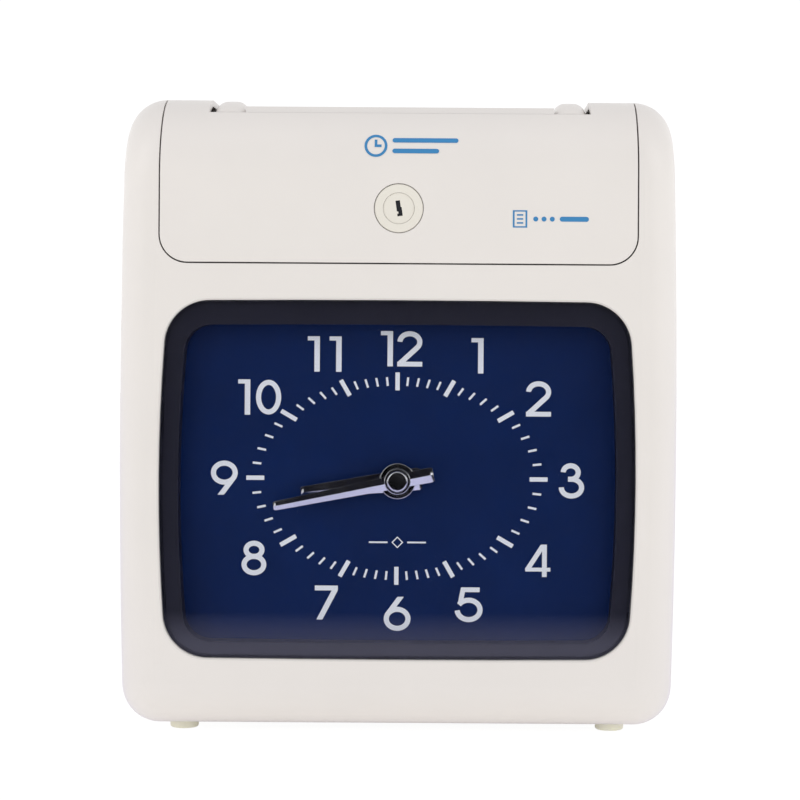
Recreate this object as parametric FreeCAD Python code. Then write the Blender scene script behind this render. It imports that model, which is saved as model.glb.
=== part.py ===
# Punch time clock: card time recorder with an analogue dial, built as separate named pieces.
# Frame in millimetres: +X to the right as seen from the front, the front faces -Y, +Z is up, and the
# origin is the middle of the footprint at the height of the table.
import FreeCAD, Part
import math
import os

V = FreeCAD.Vector

# ---- driving dimensions -------------------------------------------------------------------------

# Case
WIDTH = 205.0
DEPTH = 125.0
HEIGHT = 233.6
FOOT_HEIGHT = 3.0
WALL = 2.5
SIDE_BOW = 1.9            # each side wall bulges out by this much at mid height
EDGE_R = 14.0             # rounding of all the long edges of the case
TOP_FRONT_R = 30.0        # large curve from the front into the top
BOTTOM_FRONT_R = 16.0
REAR_R = 8.0
PARTING_Y = 30.0          # plane where the front and rear covers meet
SEAM = 0.3
FRONT = -DEPTH / 2
REAR = DEPTH / 2
BOTTOM = FOOT_HEIGHT
TOP = HEIGHT

# Feet and the screws that hold the case to the chassis
FOOT_R = 5.25
FOOT_X = 79.0
FOOT_Y = (-40.0, 48.0)
FOOT_STUD_R = 2.5
CASE_SCREW_X = 42.0
CASE_SCREW_Y = (-28.0, 38.0)
CASE_SCREW_HEAD_R = 2.9
CASE_SCREW_SEAT = BOTTOM + 1.2   # the underside of the recessed head
CASE_POST_R = 4.0
M3_R = 1.5

# Door
DOOR_HALF = 86.7
DOOR_BOTTOM = 172.35
DOOR_CORNER_R = 10.0
DOOR_GAP = 0.5
ARM_INNER = 70.2          # the two hinge arms lie outside this distance from the middle
DOOR_EDGE_Y = -50.2       # between the arms the door ends here
KNUCKLE_R = 5.5
HINGE_Y = -2.0
HINGE_Z = TOP - KNUCKLE_R
HINGE_PIN_R = 1.5
RIM = 2.2                 # wall that lines the door opening
RIM_DEPTH = 10.0
RUNNING = 0.05            # radial clearance of a running fit

# Lock
LOCK_Z = 192.2
LOCK_R = 8.8
LOCK_FLANGE = 1.2         # thickness of the face ring
LOCK_BODY_R = 7.5
LOCK_BODY_END = 9.6       # behind the front face
LOCK_NUT_FLATS = 17.0
LOCK_NUT_THICK = 3.0
PLUG_R = 5.65
KEYWAY_LEAN = -8.0        # degrees, with the top of the keyway to the left
PLUG_SUNK = 0.3
PLUG_END = 9.8
KEYWAY_DEPTH = 8.0
CAM_FRONT = 10.6
CAM_SHEET = 1.5
CAM_REACH = 20.0
CAM_SQUARE = 2.5          # half of the square that drives the tongue
CAM_SCREW_R = 1.25

# Card path
CARD_Y = -12.0
SLOT_HALF = 46.0
SLOT_DEPTH = 6.0
INLET_HALF = ARM_INNER - 1.3
INLET_Y = (DOOR_EDGE_Y + 0.6, HINGE_Y + KNUCKLE_R + 0.3)
INLET_BOTTOM = 218.5
FUNNEL_LIP_Y = -45.0      # the funnel starts here, on the curve of the case
FUNNEL_THROAT_Z = 221.8
FUNNEL_BACK_Z = TOP - 0.3
INLET_SUNK = 0.4          # below the surface of the case
INLET_SKIN = 2.0
HUMP_INNER = 56.8
HUMP_R = 4.5
GUIDE_HALF = 48.0
GUIDE_GAP = 5.2
GUIDE_SHEET = 1.0
GUIDE_BOTTOM = 32.0
GUIDE_TOP = 206.0

# Window, bezel and dial
WINDOW_HALF_W = 86.7
WINDOW_HALF_H = 65.35
WINDOW_R = 16.6
WINDOW_Z = 93.5
SIDE_OUTLINE_BOW = 3.0
TOP_OUTLINE_BOW = 0.5
OPENING_HALF_W = 79.9     # the bezel's opening, through which the dial is seen
OPENING_HALF_H = 58.05
OPENING_R = 9.8
OPENING_Z = 91.9
BEZEL_FRONT = FRONT + 4.0
DIAL_FRONT = FRONT + 12.5
DIAL_SHEET = 1.0
FLANGE = 0.8              # the window and the bezel reach this far behind the cover
PEG_X = 60.0
PEG_Z = (22.9, 164.1)
PEG_R = 1.5

# Hands and movement
HAND_Z = 92.6
MINUTE_LENGTH = 46.3
MINUTE_TAIL = 13.4
HOUR_LENGTH = 35.6
HOUR_TAIL = 8.7
HAND_EDGE = 0.35          # thickness at a hand's edges
HAND_RIDGE = 0.95         # thickness at its ridge
HAND_HUB = 1.0
HOUR_HAND_BACK = 3.1      # each hand's back, in front of the dial
MINUTE_HAND_BACK = 5.2
HOUR_HUB_R = 6.6
MINUTE_HUB_R = 4.8
CAP_R = 3.9
NUT_FLATS = 11.0
HOUR_ANGLE = 263.0        # clockwise from twelve
MINUTE_ANGLE = 258.4
GEAR_MODULE = 0.5
CANNON_TEETH = 15
MINUTE_WHEEL_TEETH = 45
MINUTE_PINION_TEETH = 12
HOUR_WHEEL_TEETH = 48
DRIVE_WHEEL_TEETH = 60
CLOCK_PINION_TEETH = 12
ARBOR_R = 1.5
PIPE_R = 2.5
NECK_R = 4.0
POST_R = 0.8              # post of the intermediate wheel
POST_END = -41.8
HOUR_WHEEL_Y = (-46.6, -45.2)
MINUTE_WHEEL_Y = (-43.7, -42.3)
MINUTE_PINION_Y = (-46.9, -43.7)
CANNON_Y = (-44.3, -41.6)
DRIVE_WHEEL_Y = (-40.5, -39.0)
CLOCK_PINION_Y = (-41.2, -38.4)
MOVEMENT_SPLIT = -38.0
MOVEMENT_BACK = -34.0
MOVEMENT_WALL = 1.5
CLOCK_MOTOR_R = 11.0
CLOCK_MOTOR_LONG = 12.0
MOTOR_SHAFT_R = 0.75

# Chassis and print carriage
CHASSIS_HALF = 56.0
SHEET = 1.5
CHASSIS_BASE = 8.0
CHASSIS_FRONT = -38.0
CHASSIS_REAR = 24.0
CHASSIS_TOP = 210.0
SIDE_WINDOWS = ((16.0, 48.0), (72.0, 132.0))
TAB_Z = (60.0, 145.0)
RAIL_Z = (161.0, 177.0)
RAIL_Y = -36.0
RAIL_SHEET = 1.0
ROD_R = 2.5
RODS = ((-31.0, 183.0), (-25.0, 199.0))
PRINT_Z = 190.0
CARRIAGE_HALF = 15.0
CARRIAGE_Y = (-36.0, -20.0)
CARRIAGE_Z = (179.0, 203.0)
CLAMP_Y = (-33.0, -30.0)
HEAD_HALF = 9.0
HEAD_TALL = 5.5           # half height of the print head
HEAD_Y = (-27.5, -18.0)
NOSE_HALF = 4.0
NOSE_TALL = 3.5
PULLEY_X = 46.0
PULLEY_Z = 170.0
PULLEY_R = 6.0
PULLEY_FLANGE_R = 7.6
PULLEY_FLANGE = 0.7
DRUM_Y = (-33.8, -29.2)
STUD_R = 1.5
STUD_HEAD_R = 2.6
STUD_Y = (-28.3, -27.6)   # the head that keeps the idler pulley on its stud
BELT_Y = (-33.6, -29.4)
BELT_SHEET = 0.5
CARRIAGE_MOTOR_R = 9.5
CARRIAGE_MOTOR_LONG = 11.0

# Card feed
FEED_Z = 158.0
FEED_ROLLER_R = 7.0
FEED_ROLLER_X = 28.0
ROLLER_HALF = 6.0         # half the length of a roller
PINCH_ROLLER_R = 5.0
PINCH_SHAFT_R = 1.5
PINCH_REACH = CHASSIS_HALF + 1.8
CARD_NIP = 0.6
SHAFT_R = 2.5
FEED_MODULE = 0.6
FEED_GEAR_TEETH = 40
FEED_PINION_TEETH = 12
FEED_GEAR_X = (CHASSIS_HALF + 2.5, CHASSIS_HALF + 5.5)
FEED_MOTOR_R = 11.0
FEED_MOTOR_LONG = 18.0
FEED_MOTOR_SHAFT_R = 1.0

# Ribbon
RIBBON_HALF = 54.0
RIBBON_Z = (204.6, 216.5)
RIBBON_Y = (-35.0, -19.0)
RIBBON_ARM_X = 48.5
RIBBON_ARM_Y = (-20.5, -15.8)
RIBBON_ARM_Z = (185.0, 212.0)
KNOB_X = -38.0
KNOB_Z = 210.3
KNOB_R = 6.0
KNOB_SHAFT_R = 2.0
KNOB_Y = (-39.5, -35.3)
KNOB_SHAFT_END = -28.5

# Setting panel behind the door
PANEL_X = (60.0, 86.0)
PANEL_Z = (177.0, 214.0)
PANEL_Y = -51.0
PANEL_SHEET = 2.0
PANEL_LEG_END = -34.5
DISPLAY_X = (62.5, 83.5)
DISPLAY_Z = (199.5, 210.5)
BUTTON_R = 2.5
BUTTON_X = (66.0, 80.0)
BUTTON_Z = (184.0, 193.0)

# Rear cover features
KEYHOLE_X = 60.0
KEYHOLE_Z = 180.0
KEYHOLE_HEAD_R = 4.5
KEYHOLE_SLOT_R = 2.25
KEYHOLE_RISE = 9.0
VENT_Z = (80.0, 130.0)
VENT_MIDDLES = (-20.0, 45.0)
VENTS_PER_BANK = 7
VENT_PITCH = 7.0
VENT_HALF = 1.5
LIP_GAP = 0.15            # the lip of the rear cover inside the front cover
LIP_SHEET = 1.2
LIP_DEPTH = 4.0
SOCKET_X = -62.0
SOCKET_Z = 28.0
SOCKET_W = 13.0           # half width and half height of its cut-out
SOCKET_H = 9.0
SOCKET_PIN_X = 4.3

# Electronics
BOARD_Y = 38.0
BOARD_SHEET = 1.6
BOARD_HALF = 80.0
BOARD_Z = (40.0, 170.0)
BOARD_POSTS = ((-70.0, 50.0), (70.0, 50.0), (-70.0, 160.0), (70.0, 160.0))
# x, z, width, height and depth of each chip, relay or connector
CHIPS = ((-20.0, 110.0, 28.0, 12.0, 3.0), (20.0, 120.0, 14.0, 10.0, 2.5),
         (-60.0, 120.0, 12.0, 22.0, 5.0), (-70.0, 60.0, 14.0, 20.0, 9.0),
         (45.0, 60.0, 20.0, 9.0, 8.0), (30.0, 90.0, 10.0, 10.0, 4.0))
# x, z, radius and height of each capacitor
CAPACITORS = ((-45.0, 75.0, 5.0, 10.0), (-32.0, 75.0, 5.0, 10.0), (-40.0, 92.0, 3.2, 8.0),
              (8.0, 90.0, 3.2, 8.0))
TRANSFORMER_X = -78.0
TRANSFORMER_Z = (14.0, 42.0)
CELL_R = 7.0
CELL_X = 66.0
CELL_Y = (-20.0, 24.0)

PAST = 1.0                # how far a cutter goes beyond the face it cuts


# ---- helpers ------------------------------------------------------------------------------------

def box(x0, x1, y0, y1, z0, z1):
    return Part.makeBox(x1 - x0, y1 - y0, z1 - z0, V(x0, y0, z0))


def rod_x(radius, x0, x1, y, z):
    return Part.makeCylinder(radius, x1 - x0, V(x0, y, z), V(1, 0, 0))


def rod_y(radius, y0, y1, x, z):
    return Part.makeCylinder(radius, y1 - y0, V(x, y0, z), V(0, 1, 0))


def rod_z(radius, z0, z1, x, y):
    return Part.makeCylinder(radius, z1 - z0, V(x, y, z0), V(0, 0, 1))


def fuse(shapes):
    """One clean solid from several that touch or overlap."""
    first = shapes[0]
    return first.fuse(shapes[1:]).removeSplitter() if len(shapes) > 1 else first


def cut(shape, tools):
    return shape.cut(tools).removeSplitter()


def both_sides(make):
    """The same feature on the left (-1) and on the right (+1)."""
    return [make(side) for side in (-1, 1)]


def line(a, b):
    return Part.LineSegment(V(*a), V(*b)).toShape()


def arc(a, middle, b):
    return Part.Arc(V(*a), V(*middle), V(*b)).toShape()


def polygon_face(points):
    return Part.Face(Part.makePolygon([V(*p) for p in points] + [V(*points[0])]))


def prism_x(yz_points, x0, x1):
    """A solid with a polygonal section in the YZ plane, between two values of x."""
    face = polygon_face([(x0, y, z) for y, z in yz_points])
    return face.extrude(V(x1 - x0, 0, 0))


def prism_y(xz_points, y0, y1):
    """A solid with a polygonal outline in the XZ plane, between two values of y."""
    face = polygon_face([(x, y0, z) for x, z in xz_points])
    return face.extrude(V(0, y1 - y0, 0))


def fillet_edges(shape, radius, wanted):
    return shape.makeFillet(radius, [edge for edge in shape.Edges if wanted(edge)])


def rounded_slab_y(x0, x1, y0, y1, z0, z1, radius):
    """A plate standing across Y, with its four corners rounded."""
    def is_corner(edge):
        return edge.BoundBox.YLength > 0.9 * (y1 - y0) and edge.BoundBox.XLength < 0.01
    return fillet_edges(box(x0, x1, y0, y1, z0, z1), radius, is_corner)


def bowed_slab(w, h, middle_z, corner_r, y0, y1):
    """A plate with a television-shaped outline of half width w and half height h."""
    corner_w = w - SIDE_OUTLINE_BOW
    corner_h = h - TOP_OUTLINE_BOW
    low, high = middle_z - corner_h, middle_z + corner_h
    wire = Part.Wire([
        arc((-corner_w, y0, low), (0, y0, middle_z - h), (corner_w, y0, low)),
        arc((corner_w, y0, low), (w, y0, middle_z), (corner_w, y0, high)),
        arc((corner_w, y0, high), (0, y0, middle_z + h), (-corner_w, y0, high)),
        arc((-corner_w, y0, high), (-w, y0, middle_z), (-corner_w, y0, low)),
    ])
    slab = Part.Face(wire).extrude(V(0, y1 - y0, 0))

    def is_corner(edge):
        return edge.BoundBox.XLength < 0.01 and edge.BoundBox.ZLength < 0.01
    return fillet_edges(slab, corner_r, is_corner)


def window_slab(grow, y0, y1):
    """A plate with the outline of the window, grown outwards by grow."""
    return bowed_slab(WINDOW_HALF_W + grow, WINDOW_HALF_H + grow, WINDOW_Z, WINDOW_R + grow, y0, y1)


def opening_slab(grow, y0, y1):
    """A plate with the outline of the bezel's opening, grown outwards by grow."""
    return bowed_slab(OPENING_HALF_W + grow, OPENING_HALF_H + grow, OPENING_Z, OPENING_R + grow, y0, y1)


def gear_outline(teeth, module, phase):
    """Points of a spur gear with involute flanks; phase is the angle of one tooth's centre."""
    pressure = math.radians(25)
    pitch_r = module * teeth / 2
    base_r = pitch_r * math.cos(pressure)
    tip_r = pitch_r + 0.9 * module
    root_r = pitch_r - 1.2 * module
    thinning = 0.16 * module

    def involute(angle):
        return math.tan(angle) - angle

    def half_angle(radius):
        at_pitch = math.pi / (2 * teeth) - thinning / (2 * pitch_r)
        pressure_here = math.acos(min(1.0, base_r / radius))
        return at_pitch + involute(pressure) - involute(pressure_here)

    flank_start = max(base_r, root_r + 0.05 * module)
    flank_steps = 4
    flank = [flank_start + (tip_r - flank_start) * k / flank_steps for k in range(flank_steps + 1)]
    side = [(root_r, half_angle(flank_start))] + [(radius, half_angle(radius)) for radius in flank]
    points = []
    for tooth in range(teeth):
        centre = phase + 2 * math.pi * tooth / teeth
        rising = [(radius, centre - angle) for radius, angle in side]
        falling = [(radius, centre + angle) for radius, angle in reversed(side)]
        points += [(r * math.cos(a), r * math.sin(a)) for r, a in rising + falling]
    return points


def gear_y(teeth, module, phase, y0, y1, x, z):
    """A spur gear that turns about an axis along Y; phase is measured from +X towards +Z."""
    return prism_y([(x + u, z + v) for u, v in gear_outline(teeth, module, phase)], y0, y1)


def gear_x(teeth, module, phase, x0, x1, y, z):
    """A spur gear that turns about an axis along X; phase is measured from +Y towards +Z."""
    return prism_x([(y + u, z + v) for u, v in gear_outline(teeth, module, phase)], x0, x1)


# ---- case ---------------------------------------------------------------------------------------

def case_solid(inset, y_end):
    """The front part of the case as a full solid, with every face drawn in by inset."""
    y0 = FRONT + inset
    z0 = BOTTOM + inset
    z1 = TOP - inset
    top_r = TOP_FRONT_R - inset
    low_r = BOTTOM_FRONT_R - inset
    diagonal = 1 - math.sqrt(0.5)
    reach = WIDTH
    profile = Part.Wire([
        line((-reach, y_end, z0), (-reach, y0 + low_r, z0)),
        arc((-reach, y0 + low_r, z0), (-reach, y0 + low_r * diagonal, z0 + low_r * diagonal),
            (-reach, y0, z0 + low_r)),
        line((-reach, y0, z0 + low_r), (-reach, y0, z1 - top_r)),
        arc((-reach, y0, z1 - top_r), (-reach, y0 + top_r * diagonal, z1 - top_r * diagonal),
            (-reach, y0 + top_r, z1)),
        line((-reach, y0 + top_r, z1), (-reach, y_end, z1)),
        line((-reach, y_end, z1), (-reach, y_end, z0)),
    ])
    side_view = Part.Face(profile).extrude(V(2 * reach, 0, 0))
    half = WIDTH / 2 - inset
    corner = half - SIDE_BOW
    middle_z = (BOTTOM + TOP) / 2
    low, high = BOTTOM - PAST, TOP + PAST
    end = half - SIDE_BOW * ((high - low) / (TOP - BOTTOM)) ** 2
    front_view = Part.Wire([
        line((-end, -DEPTH, low), (end, -DEPTH, low)),
        arc((end, -DEPTH, low), (half, -DEPTH, middle_z), (end, -DEPTH, high)),
        line((end, -DEPTH, high), (-end, -DEPTH, high)),
        arc((-end, -DEPTH, high), (-half, -DEPTH, middle_z), (-end, -DEPTH, low)),
    ])
    body = side_view.common(Part.Face(front_view).extrude(V(0, 2 * DEPTH, 0)))

    def is_side_edge(edge):
        centre = edge.CenterOfMass
        return abs(centre.x) > corner - 0.1 and edge.BoundBox.YMin < y_end - 0.01
    return fillet_edges(body, EDGE_R - inset, is_side_edge)


def rear_solid(inset, y_start):
    """The rear part of the case as a full solid: the same section, with a rounded back edge."""
    section = case_solid(inset, y_start)
    ring = [face for face in section.Faces
            if face.BoundBox.YLength < 0.01 and abs(face.CenterOfMass.y - y_start) < 0.01]
    body = ring[0].extrude(V(0, REAR - inset - y_start, 0))

    def is_back_edge(edge):
        return edge.BoundBox.YMin > REAR - inset - 0.01
    return fillet_edges(body, REAR_R - inset, is_back_edge)


def door_opening(grow):
    """Cutter for the opening of the door, grown outwards by grow on every side."""
    half = DOOR_HALF + grow
    low = DOOR_BOTTOM - grow
    back = HINGE_Y + KNUCKLE_R + grow
    block = box(-half, half, FRONT - WALL, back, low, TOP + WALL)

    def is_low_corner(edge):
        return edge.BoundBox.YLength > DEPTH / 3 and edge.BoundBox.ZMax < low + 0.01
    return fillet_edges(block, DOOR_CORNER_R + grow, is_low_corner)


def opening_rim():
    """Wall that lines the door opening and carries the hinge pins."""
    skin = case_solid(0, PARTING_Y).cut(case_solid(RIM_DEPTH, PARTING_Y + 1))
    ring = door_opening(DOOR_GAP + RIM).cut(door_opening(DOOR_GAP))
    return skin.common(ring)


def bezel_pegs():
    """Centres of the four pegs that the bezel is staked on."""
    return [(x, z) for x in (-PEG_X, PEG_X) for z in PEG_Z]


def case_posts(y):
    """Posts between the bottom wall and the chassis, one at each screw, at one value of y."""
    return both_sides(lambda side: rod_z(CASE_POST_R, BOTTOM + 1, CHASSIS_BASE, side * CASE_SCREW_X, y))


def case_screw_holes(y):
    holes = both_sides(lambda side: rod_z(M3_R + 0.2, 0, CHASSIS_BASE + 5, side * CASE_SCREW_X, y))
    recesses = both_sides(lambda side: rod_z(3.5, 0, CASE_SCREW_SEAT, side * CASE_SCREW_X, y))
    return holes + recesses


def foot_hole(x, y):
    return rod_z(FOOT_STUD_R, 0, BOTTOM + WALL + 5, x, y)


def front_cover():
    end = PARTING_Y - SEAM / 2
    shell = case_solid(0, end).cut(case_solid(WALL, PARTING_Y + 5))
    shell = shell.cut(door_opening(DOOR_GAP))
    inside = case_solid(WALL / 2, end)
    pegs = [rod_y(PEG_R, FRONT, BEZEL_FRONT + 5, x, z).common(inside) for x, z in bezel_pegs()]
    bosses = [rod_y(3.2, FRONT, BEZEL_FRONT, x, z).common(inside) for x, z in bezel_pegs()]
    shell = fuse([shell, opening_rim()] + pegs + bosses + case_posts(CASE_SCREW_Y[0]))
    window = window_slab(0, FRONT - PAST, FRONT + WALL + PAST)
    hinge_holes = rod_x(HINGE_PIN_R, -WIDTH / 2 + 6, WIDTH / 2 - 6, HINGE_Y, HINGE_Z)
    feet = both_sides(lambda side: foot_hole(side * FOOT_X, FOOT_Y[0]))
    shell = cut(shell, [window, hinge_holes] + feet + case_screw_holes(CASE_SCREW_Y[0]))

    def is_window_edge(edge):
        bounds = edge.BoundBox
        inside = abs(edge.CenterOfMass.z - WINDOW_Z) < WINDOW_HALF_H + 1
        return bounds.YMax < FRONT + 0.01 and inside and abs(edge.CenterOfMass.x) < WINDOW_HALF_W + 1
    return shell.makeChamfer(0.6, [edge for edge in shell.Edges if is_window_edge(edge)])


def keyhole(x):
    """Wall-hanging keyhole: a round hole for the screw's head and a slot above it."""
    y0, y1 = REAR - WALL - 1, REAR + 1
    head = rod_y(KEYHOLE_HEAD_R, y0, y1, x, KEYHOLE_Z)
    top = rod_y(KEYHOLE_SLOT_R, y0, y1, x, KEYHOLE_Z + KEYHOLE_RISE)
    slot = box(x - KEYHOLE_SLOT_R, x + KEYHOLE_SLOT_R, y0, y1, KEYHOLE_Z, KEYHOLE_Z + KEYHOLE_RISE)
    return fuse([head, top, slot])


def vents():
    """Two banks of upright ventilation slots in the back."""
    slots = []
    for middle in VENT_MIDDLES:
        for k in range(VENTS_PER_BANK):
            x = middle + (k - (VENTS_PER_BANK - 1) / 2) * VENT_PITCH
            slots.append(rounded_slab_y(x - VENT_HALF, x + VENT_HALF, REAR - WALL - PAST, REAR + PAST,
                                        *VENT_Z, VENT_HALF * 0.98))
    return slots


def rear_cover():
    start = PARTING_Y + SEAM / 2
    shell = rear_solid(0, start).cut(rear_solid(WALL, start - 1))
    root_depth = 2.0
    lip_inside = case_solid(WALL + LIP_GAP + LIP_SHEET, start + root_depth + PAST)
    lip = case_solid(WALL + LIP_GAP, start + root_depth).cut(lip_inside)
    lip = lip.common(box(-WIDTH, WIDTH, start - LIP_DEPTH, start + root_depth, 0, HEIGHT))
    lip_root = case_solid(WALL - 0.5, start + root_depth).cut(lip_inside)
    lip_root = lip_root.common(box(-WIDTH, WIDTH, start, start + root_depth, 0, HEIGHT))
    posts = [rod_y(3.5, BOARD_Y + BOARD_SHEET, REAR - 1, x, z) for x, z in BOARD_POSTS]
    shell = fuse([shell, lip, lip_root] + posts + case_posts(CASE_SCREW_Y[1]))
    socket = box(SOCKET_X - SOCKET_W, SOCKET_X + SOCKET_W, REAR - WALL - PAST, REAR + PAST,
                 SOCKET_Z - SOCKET_H, SOCKET_Z + SOCKET_H)
    feet = both_sides(lambda side: foot_hole(side * FOOT_X, FOOT_Y[1]))
    keyholes = [keyhole(-KEYHOLE_X), keyhole(KEYHOLE_X)]
    return cut(shell, [socket] + feet + keyholes + vents() + case_screw_holes(CASE_SCREW_Y[1]))


def foot(x, y):
    """Rubber foot: a domed-edge disc with a stud that is pushed into the bottom wall."""
    disc = rod_z(FOOT_R, 0, FOOT_HEIGHT, x, y)
    disc = fillet_edges(disc, 0.8, lambda edge: edge.BoundBox.ZMax < 0.01)
    return fuse([disc, rod_z(FOOT_STUD_R, FOOT_HEIGHT, BOTTOM + WALL + 1, x, y)])


def case_screw(x, y):
    head = rod_z(CASE_SCREW_HEAD_R, CASE_SCREW_SEAT - 1.8, CASE_SCREW_SEAT, x, y)
    shank = rod_z(M3_R, CASE_SCREW_SEAT, CHASSIS_BASE + 4, x, y)
    long, thin = 1.6, 0.35
    cross = [box(x - long, x + long, y - thin, y + thin, 0, CASE_SCREW_SEAT - 0.8),
             box(x - thin, x + thin, y - long, y + long, 0, CASE_SCREW_SEAT - 0.8)]
    return cut(fuse([head, shank]), cross)


def case_screws():
    return Part.Compound([case_screw(side * CASE_SCREW_X, y) for side in (-1, 1) for y in CASE_SCREW_Y])


def power_inlet():
    """Two-pin mains inlet, flush in the rear wall."""
    play = 0.2
    body_w, body_h, body_back = 10.0, 6.5, REAR - 17
    flange = rounded_slab_y(SOCKET_X - SOCKET_W + play, SOCKET_X + SOCKET_W - play, REAR - WALL, REAR,
                            SOCKET_Z - SOCKET_H + play, SOCKET_Z + SOCKET_H - play, 2.0)
    body = box(SOCKET_X - body_w, SOCKET_X + body_w, body_back, REAR - WALL, SOCKET_Z - body_h,
               SOCKET_Z + body_h)
    cavity = fuse([rod_y(4.2, body_back + 3, REAR + PAST, SOCKET_X + x, SOCKET_Z) for x in (-3.6, 3.6)])
    pins = [rod_y(1.2, body_back + 2, REAR - 3, SOCKET_X + x, SOCKET_Z)
            for x in (-SOCKET_PIN_X, SOCKET_PIN_X)]
    return fuse([cut(fuse([flange, body]), [cavity])] + pins)


# ---- door and lock ------------------------------------------------------------------------------

def door():
    """Curved flap with two arms that reach back over the top to the hinge knuckles."""
    outer = case_solid(0, PARTING_Y)
    panel = outer.common(door_opening(0)).cut(case_solid(WALL, PARTING_Y + 1))
    lip_depth = 7.0
    lip = outer.cut(case_solid(lip_depth, PARTING_Y + 1)).common(door_opening(0).cut(door_opening(-1.8)))
    back_of_lip = box(-WIDTH, WIDTH, HINGE_Y, DEPTH, 0, HEIGHT + 1)
    between_arms = box(-ARM_INNER, ARM_INNER, DOOR_EDGE_Y, DEPTH, TOP - 40, TOP + 1)
    knuckles = both_sides(lambda side: rod_x(
        KNUCKLE_R, *sorted((side * ARM_INNER, side * DOOR_HALF)), HINGE_Y, HINGE_Z))
    flap = fuse([panel.cut(back_of_lip), lip.cut(back_of_lip)]).cut(between_arms)
    flap = fuse([flap] + knuckles)
    pin_hole = rod_x(HINGE_PIN_R + RUNNING, -WIDTH / 2, WIDTH / 2, HINGE_Y, HINGE_Z)
    lock_hole = rod_y(LOCK_R + 0.25, FRONT - 1, FRONT + 1.2, 0, LOCK_Z)
    body_hole = rod_y(LOCK_BODY_R + 0.1, FRONT - 1, FRONT + WALL + 2, 0, LOCK_Z)
    return cut(flap, [pin_hole, lock_hole, body_hole])


def hinge_pins():
    return Part.Compound(both_sides(lambda side: rod_x(
        HINGE_PIN_R, *sorted((side * (INLET_HALF - 2.0), side * (DOOR_HALF + DOOR_GAP + RIM))),
        HINGE_Y, HINGE_Z)))


def lock_housing():
    head = rod_y(LOCK_R, FRONT, FRONT + LOCK_FLANGE, 0, LOCK_Z)
    head = fillet_edges(head, 0.5, lambda edge: edge.BoundBox.YMax < FRONT + 0.01)
    body = rod_y(LOCK_BODY_R, FRONT + LOCK_FLANGE, FRONT + LOCK_BODY_END, 0, LOCK_Z)
    bore = rod_y(PLUG_R + RUNNING, FRONT - PAST, FRONT + LOCK_BODY_END + PAST, 0, LOCK_Z)
    return cut(fuse([head, body]), [bore])


def hexagon_y(across_flats, y0, y1, x, z):
    radius = across_flats / math.sqrt(3)
    corners = [math.radians(60 * k) for k in range(6)]
    return prism_y([(x + radius * math.cos(a), z + radius * math.sin(a)) for a in corners], y0, y1)


def lock_nut():
    y0 = FRONT + WALL
    nut = hexagon_y(LOCK_NUT_FLATS, y0, y0 + LOCK_NUT_THICK, 0, LOCK_Z)
    return cut(nut, [rod_y(LOCK_BODY_R, y0 - PAST, y0 + LOCK_NUT_THICK + PAST, 0, LOCK_Z)])


def cam_square(y0, y1):
    return box(-CAM_SQUARE, CAM_SQUARE, y0, y1, LOCK_Z - CAM_SQUARE, LOCK_Z + CAM_SQUARE)


def lock_plug():
    """Turning plug with its keyway, a leaning slit with a step on the right and a ward on the left."""
    face = FRONT + PLUG_SUNK
    key_end = face + KEYWAY_DEPTH
    plug = rod_y(PLUG_R, face, FRONT + PLUG_END, 0, LOCK_Z)
    square = cam_square(FRONT + PLUG_END, FRONT + CAM_FRONT + CAM_SHEET)
    # left, right, bottom and top of each stretch of the keyway, from the middle of the lock
    steps = ((-0.85, 0.75, 0.3, 2.85), (-0.85, 1.05, -1.1, 0.3), (-0.35, 1.05, -1.9, -1.1),
             (-0.85, 1.05, -2.85, -1.9))
    keyway = fuse([box(x0, x1, face - PAST, key_end, LOCK_Z + z0, LOCK_Z + z1) for x0, x1, z0, z1 in steps])
    keyway.rotate(V(0, 0, LOCK_Z), V(0, 1, 0), KEYWAY_LEAN)
    screw_hole = rod_y(CAM_SCREW_R, FRONT + PLUG_END - 0.8, FRONT + CAM_FRONT + CAM_SHEET + PAST, 0, LOCK_Z)
    return cut(fuse([plug, square]), [keyway, screw_hole])


def lock_cam():
    """Tongue on the back of the plug; at rest it points sideways, so the door is free."""
    y0, y1 = FRONT + CAM_FRONT, FRONT + CAM_FRONT + CAM_SHEET
    tip_r = 5.0
    plate = fuse([rod_y(6.0, y0, y1, 0, LOCK_Z), box(0, CAM_REACH, y0, y1, LOCK_Z - tip_r, LOCK_Z + tip_r),
                  rod_y(tip_r, y0, y1, CAM_REACH, LOCK_Z)])
    return cut(plate, [cam_square(y0 - PAST, y1 + PAST)])


def cam_screw():
    seat = FRONT + CAM_FRONT + CAM_SHEET
    head = rod_y(4.0, seat, seat + 1.5, 0, LOCK_Z)
    shank = rod_y(CAM_SCREW_R, FRONT + PLUG_END - 0.6, seat, 0, LOCK_Z)
    slot = box(-5, 5, seat + 0.9, seat + 2, LOCK_Z - 0.4, LOCK_Z + 0.4)
    return cut(fuse([head, shank]), [slot])


# ---- card inlet ---------------------------------------------------------------------------------

def inlet_curve_z(y, inset):
    """Height of the curve from the front into the top, at one value of y."""
    radius = TOP_FRONT_R - INLET_SUNK - inset
    return TOP - TOP_FRONT_R + math.sqrt(radius ** 2 - (FRONT + TOP_FRONT_R - y) ** 2)


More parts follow.
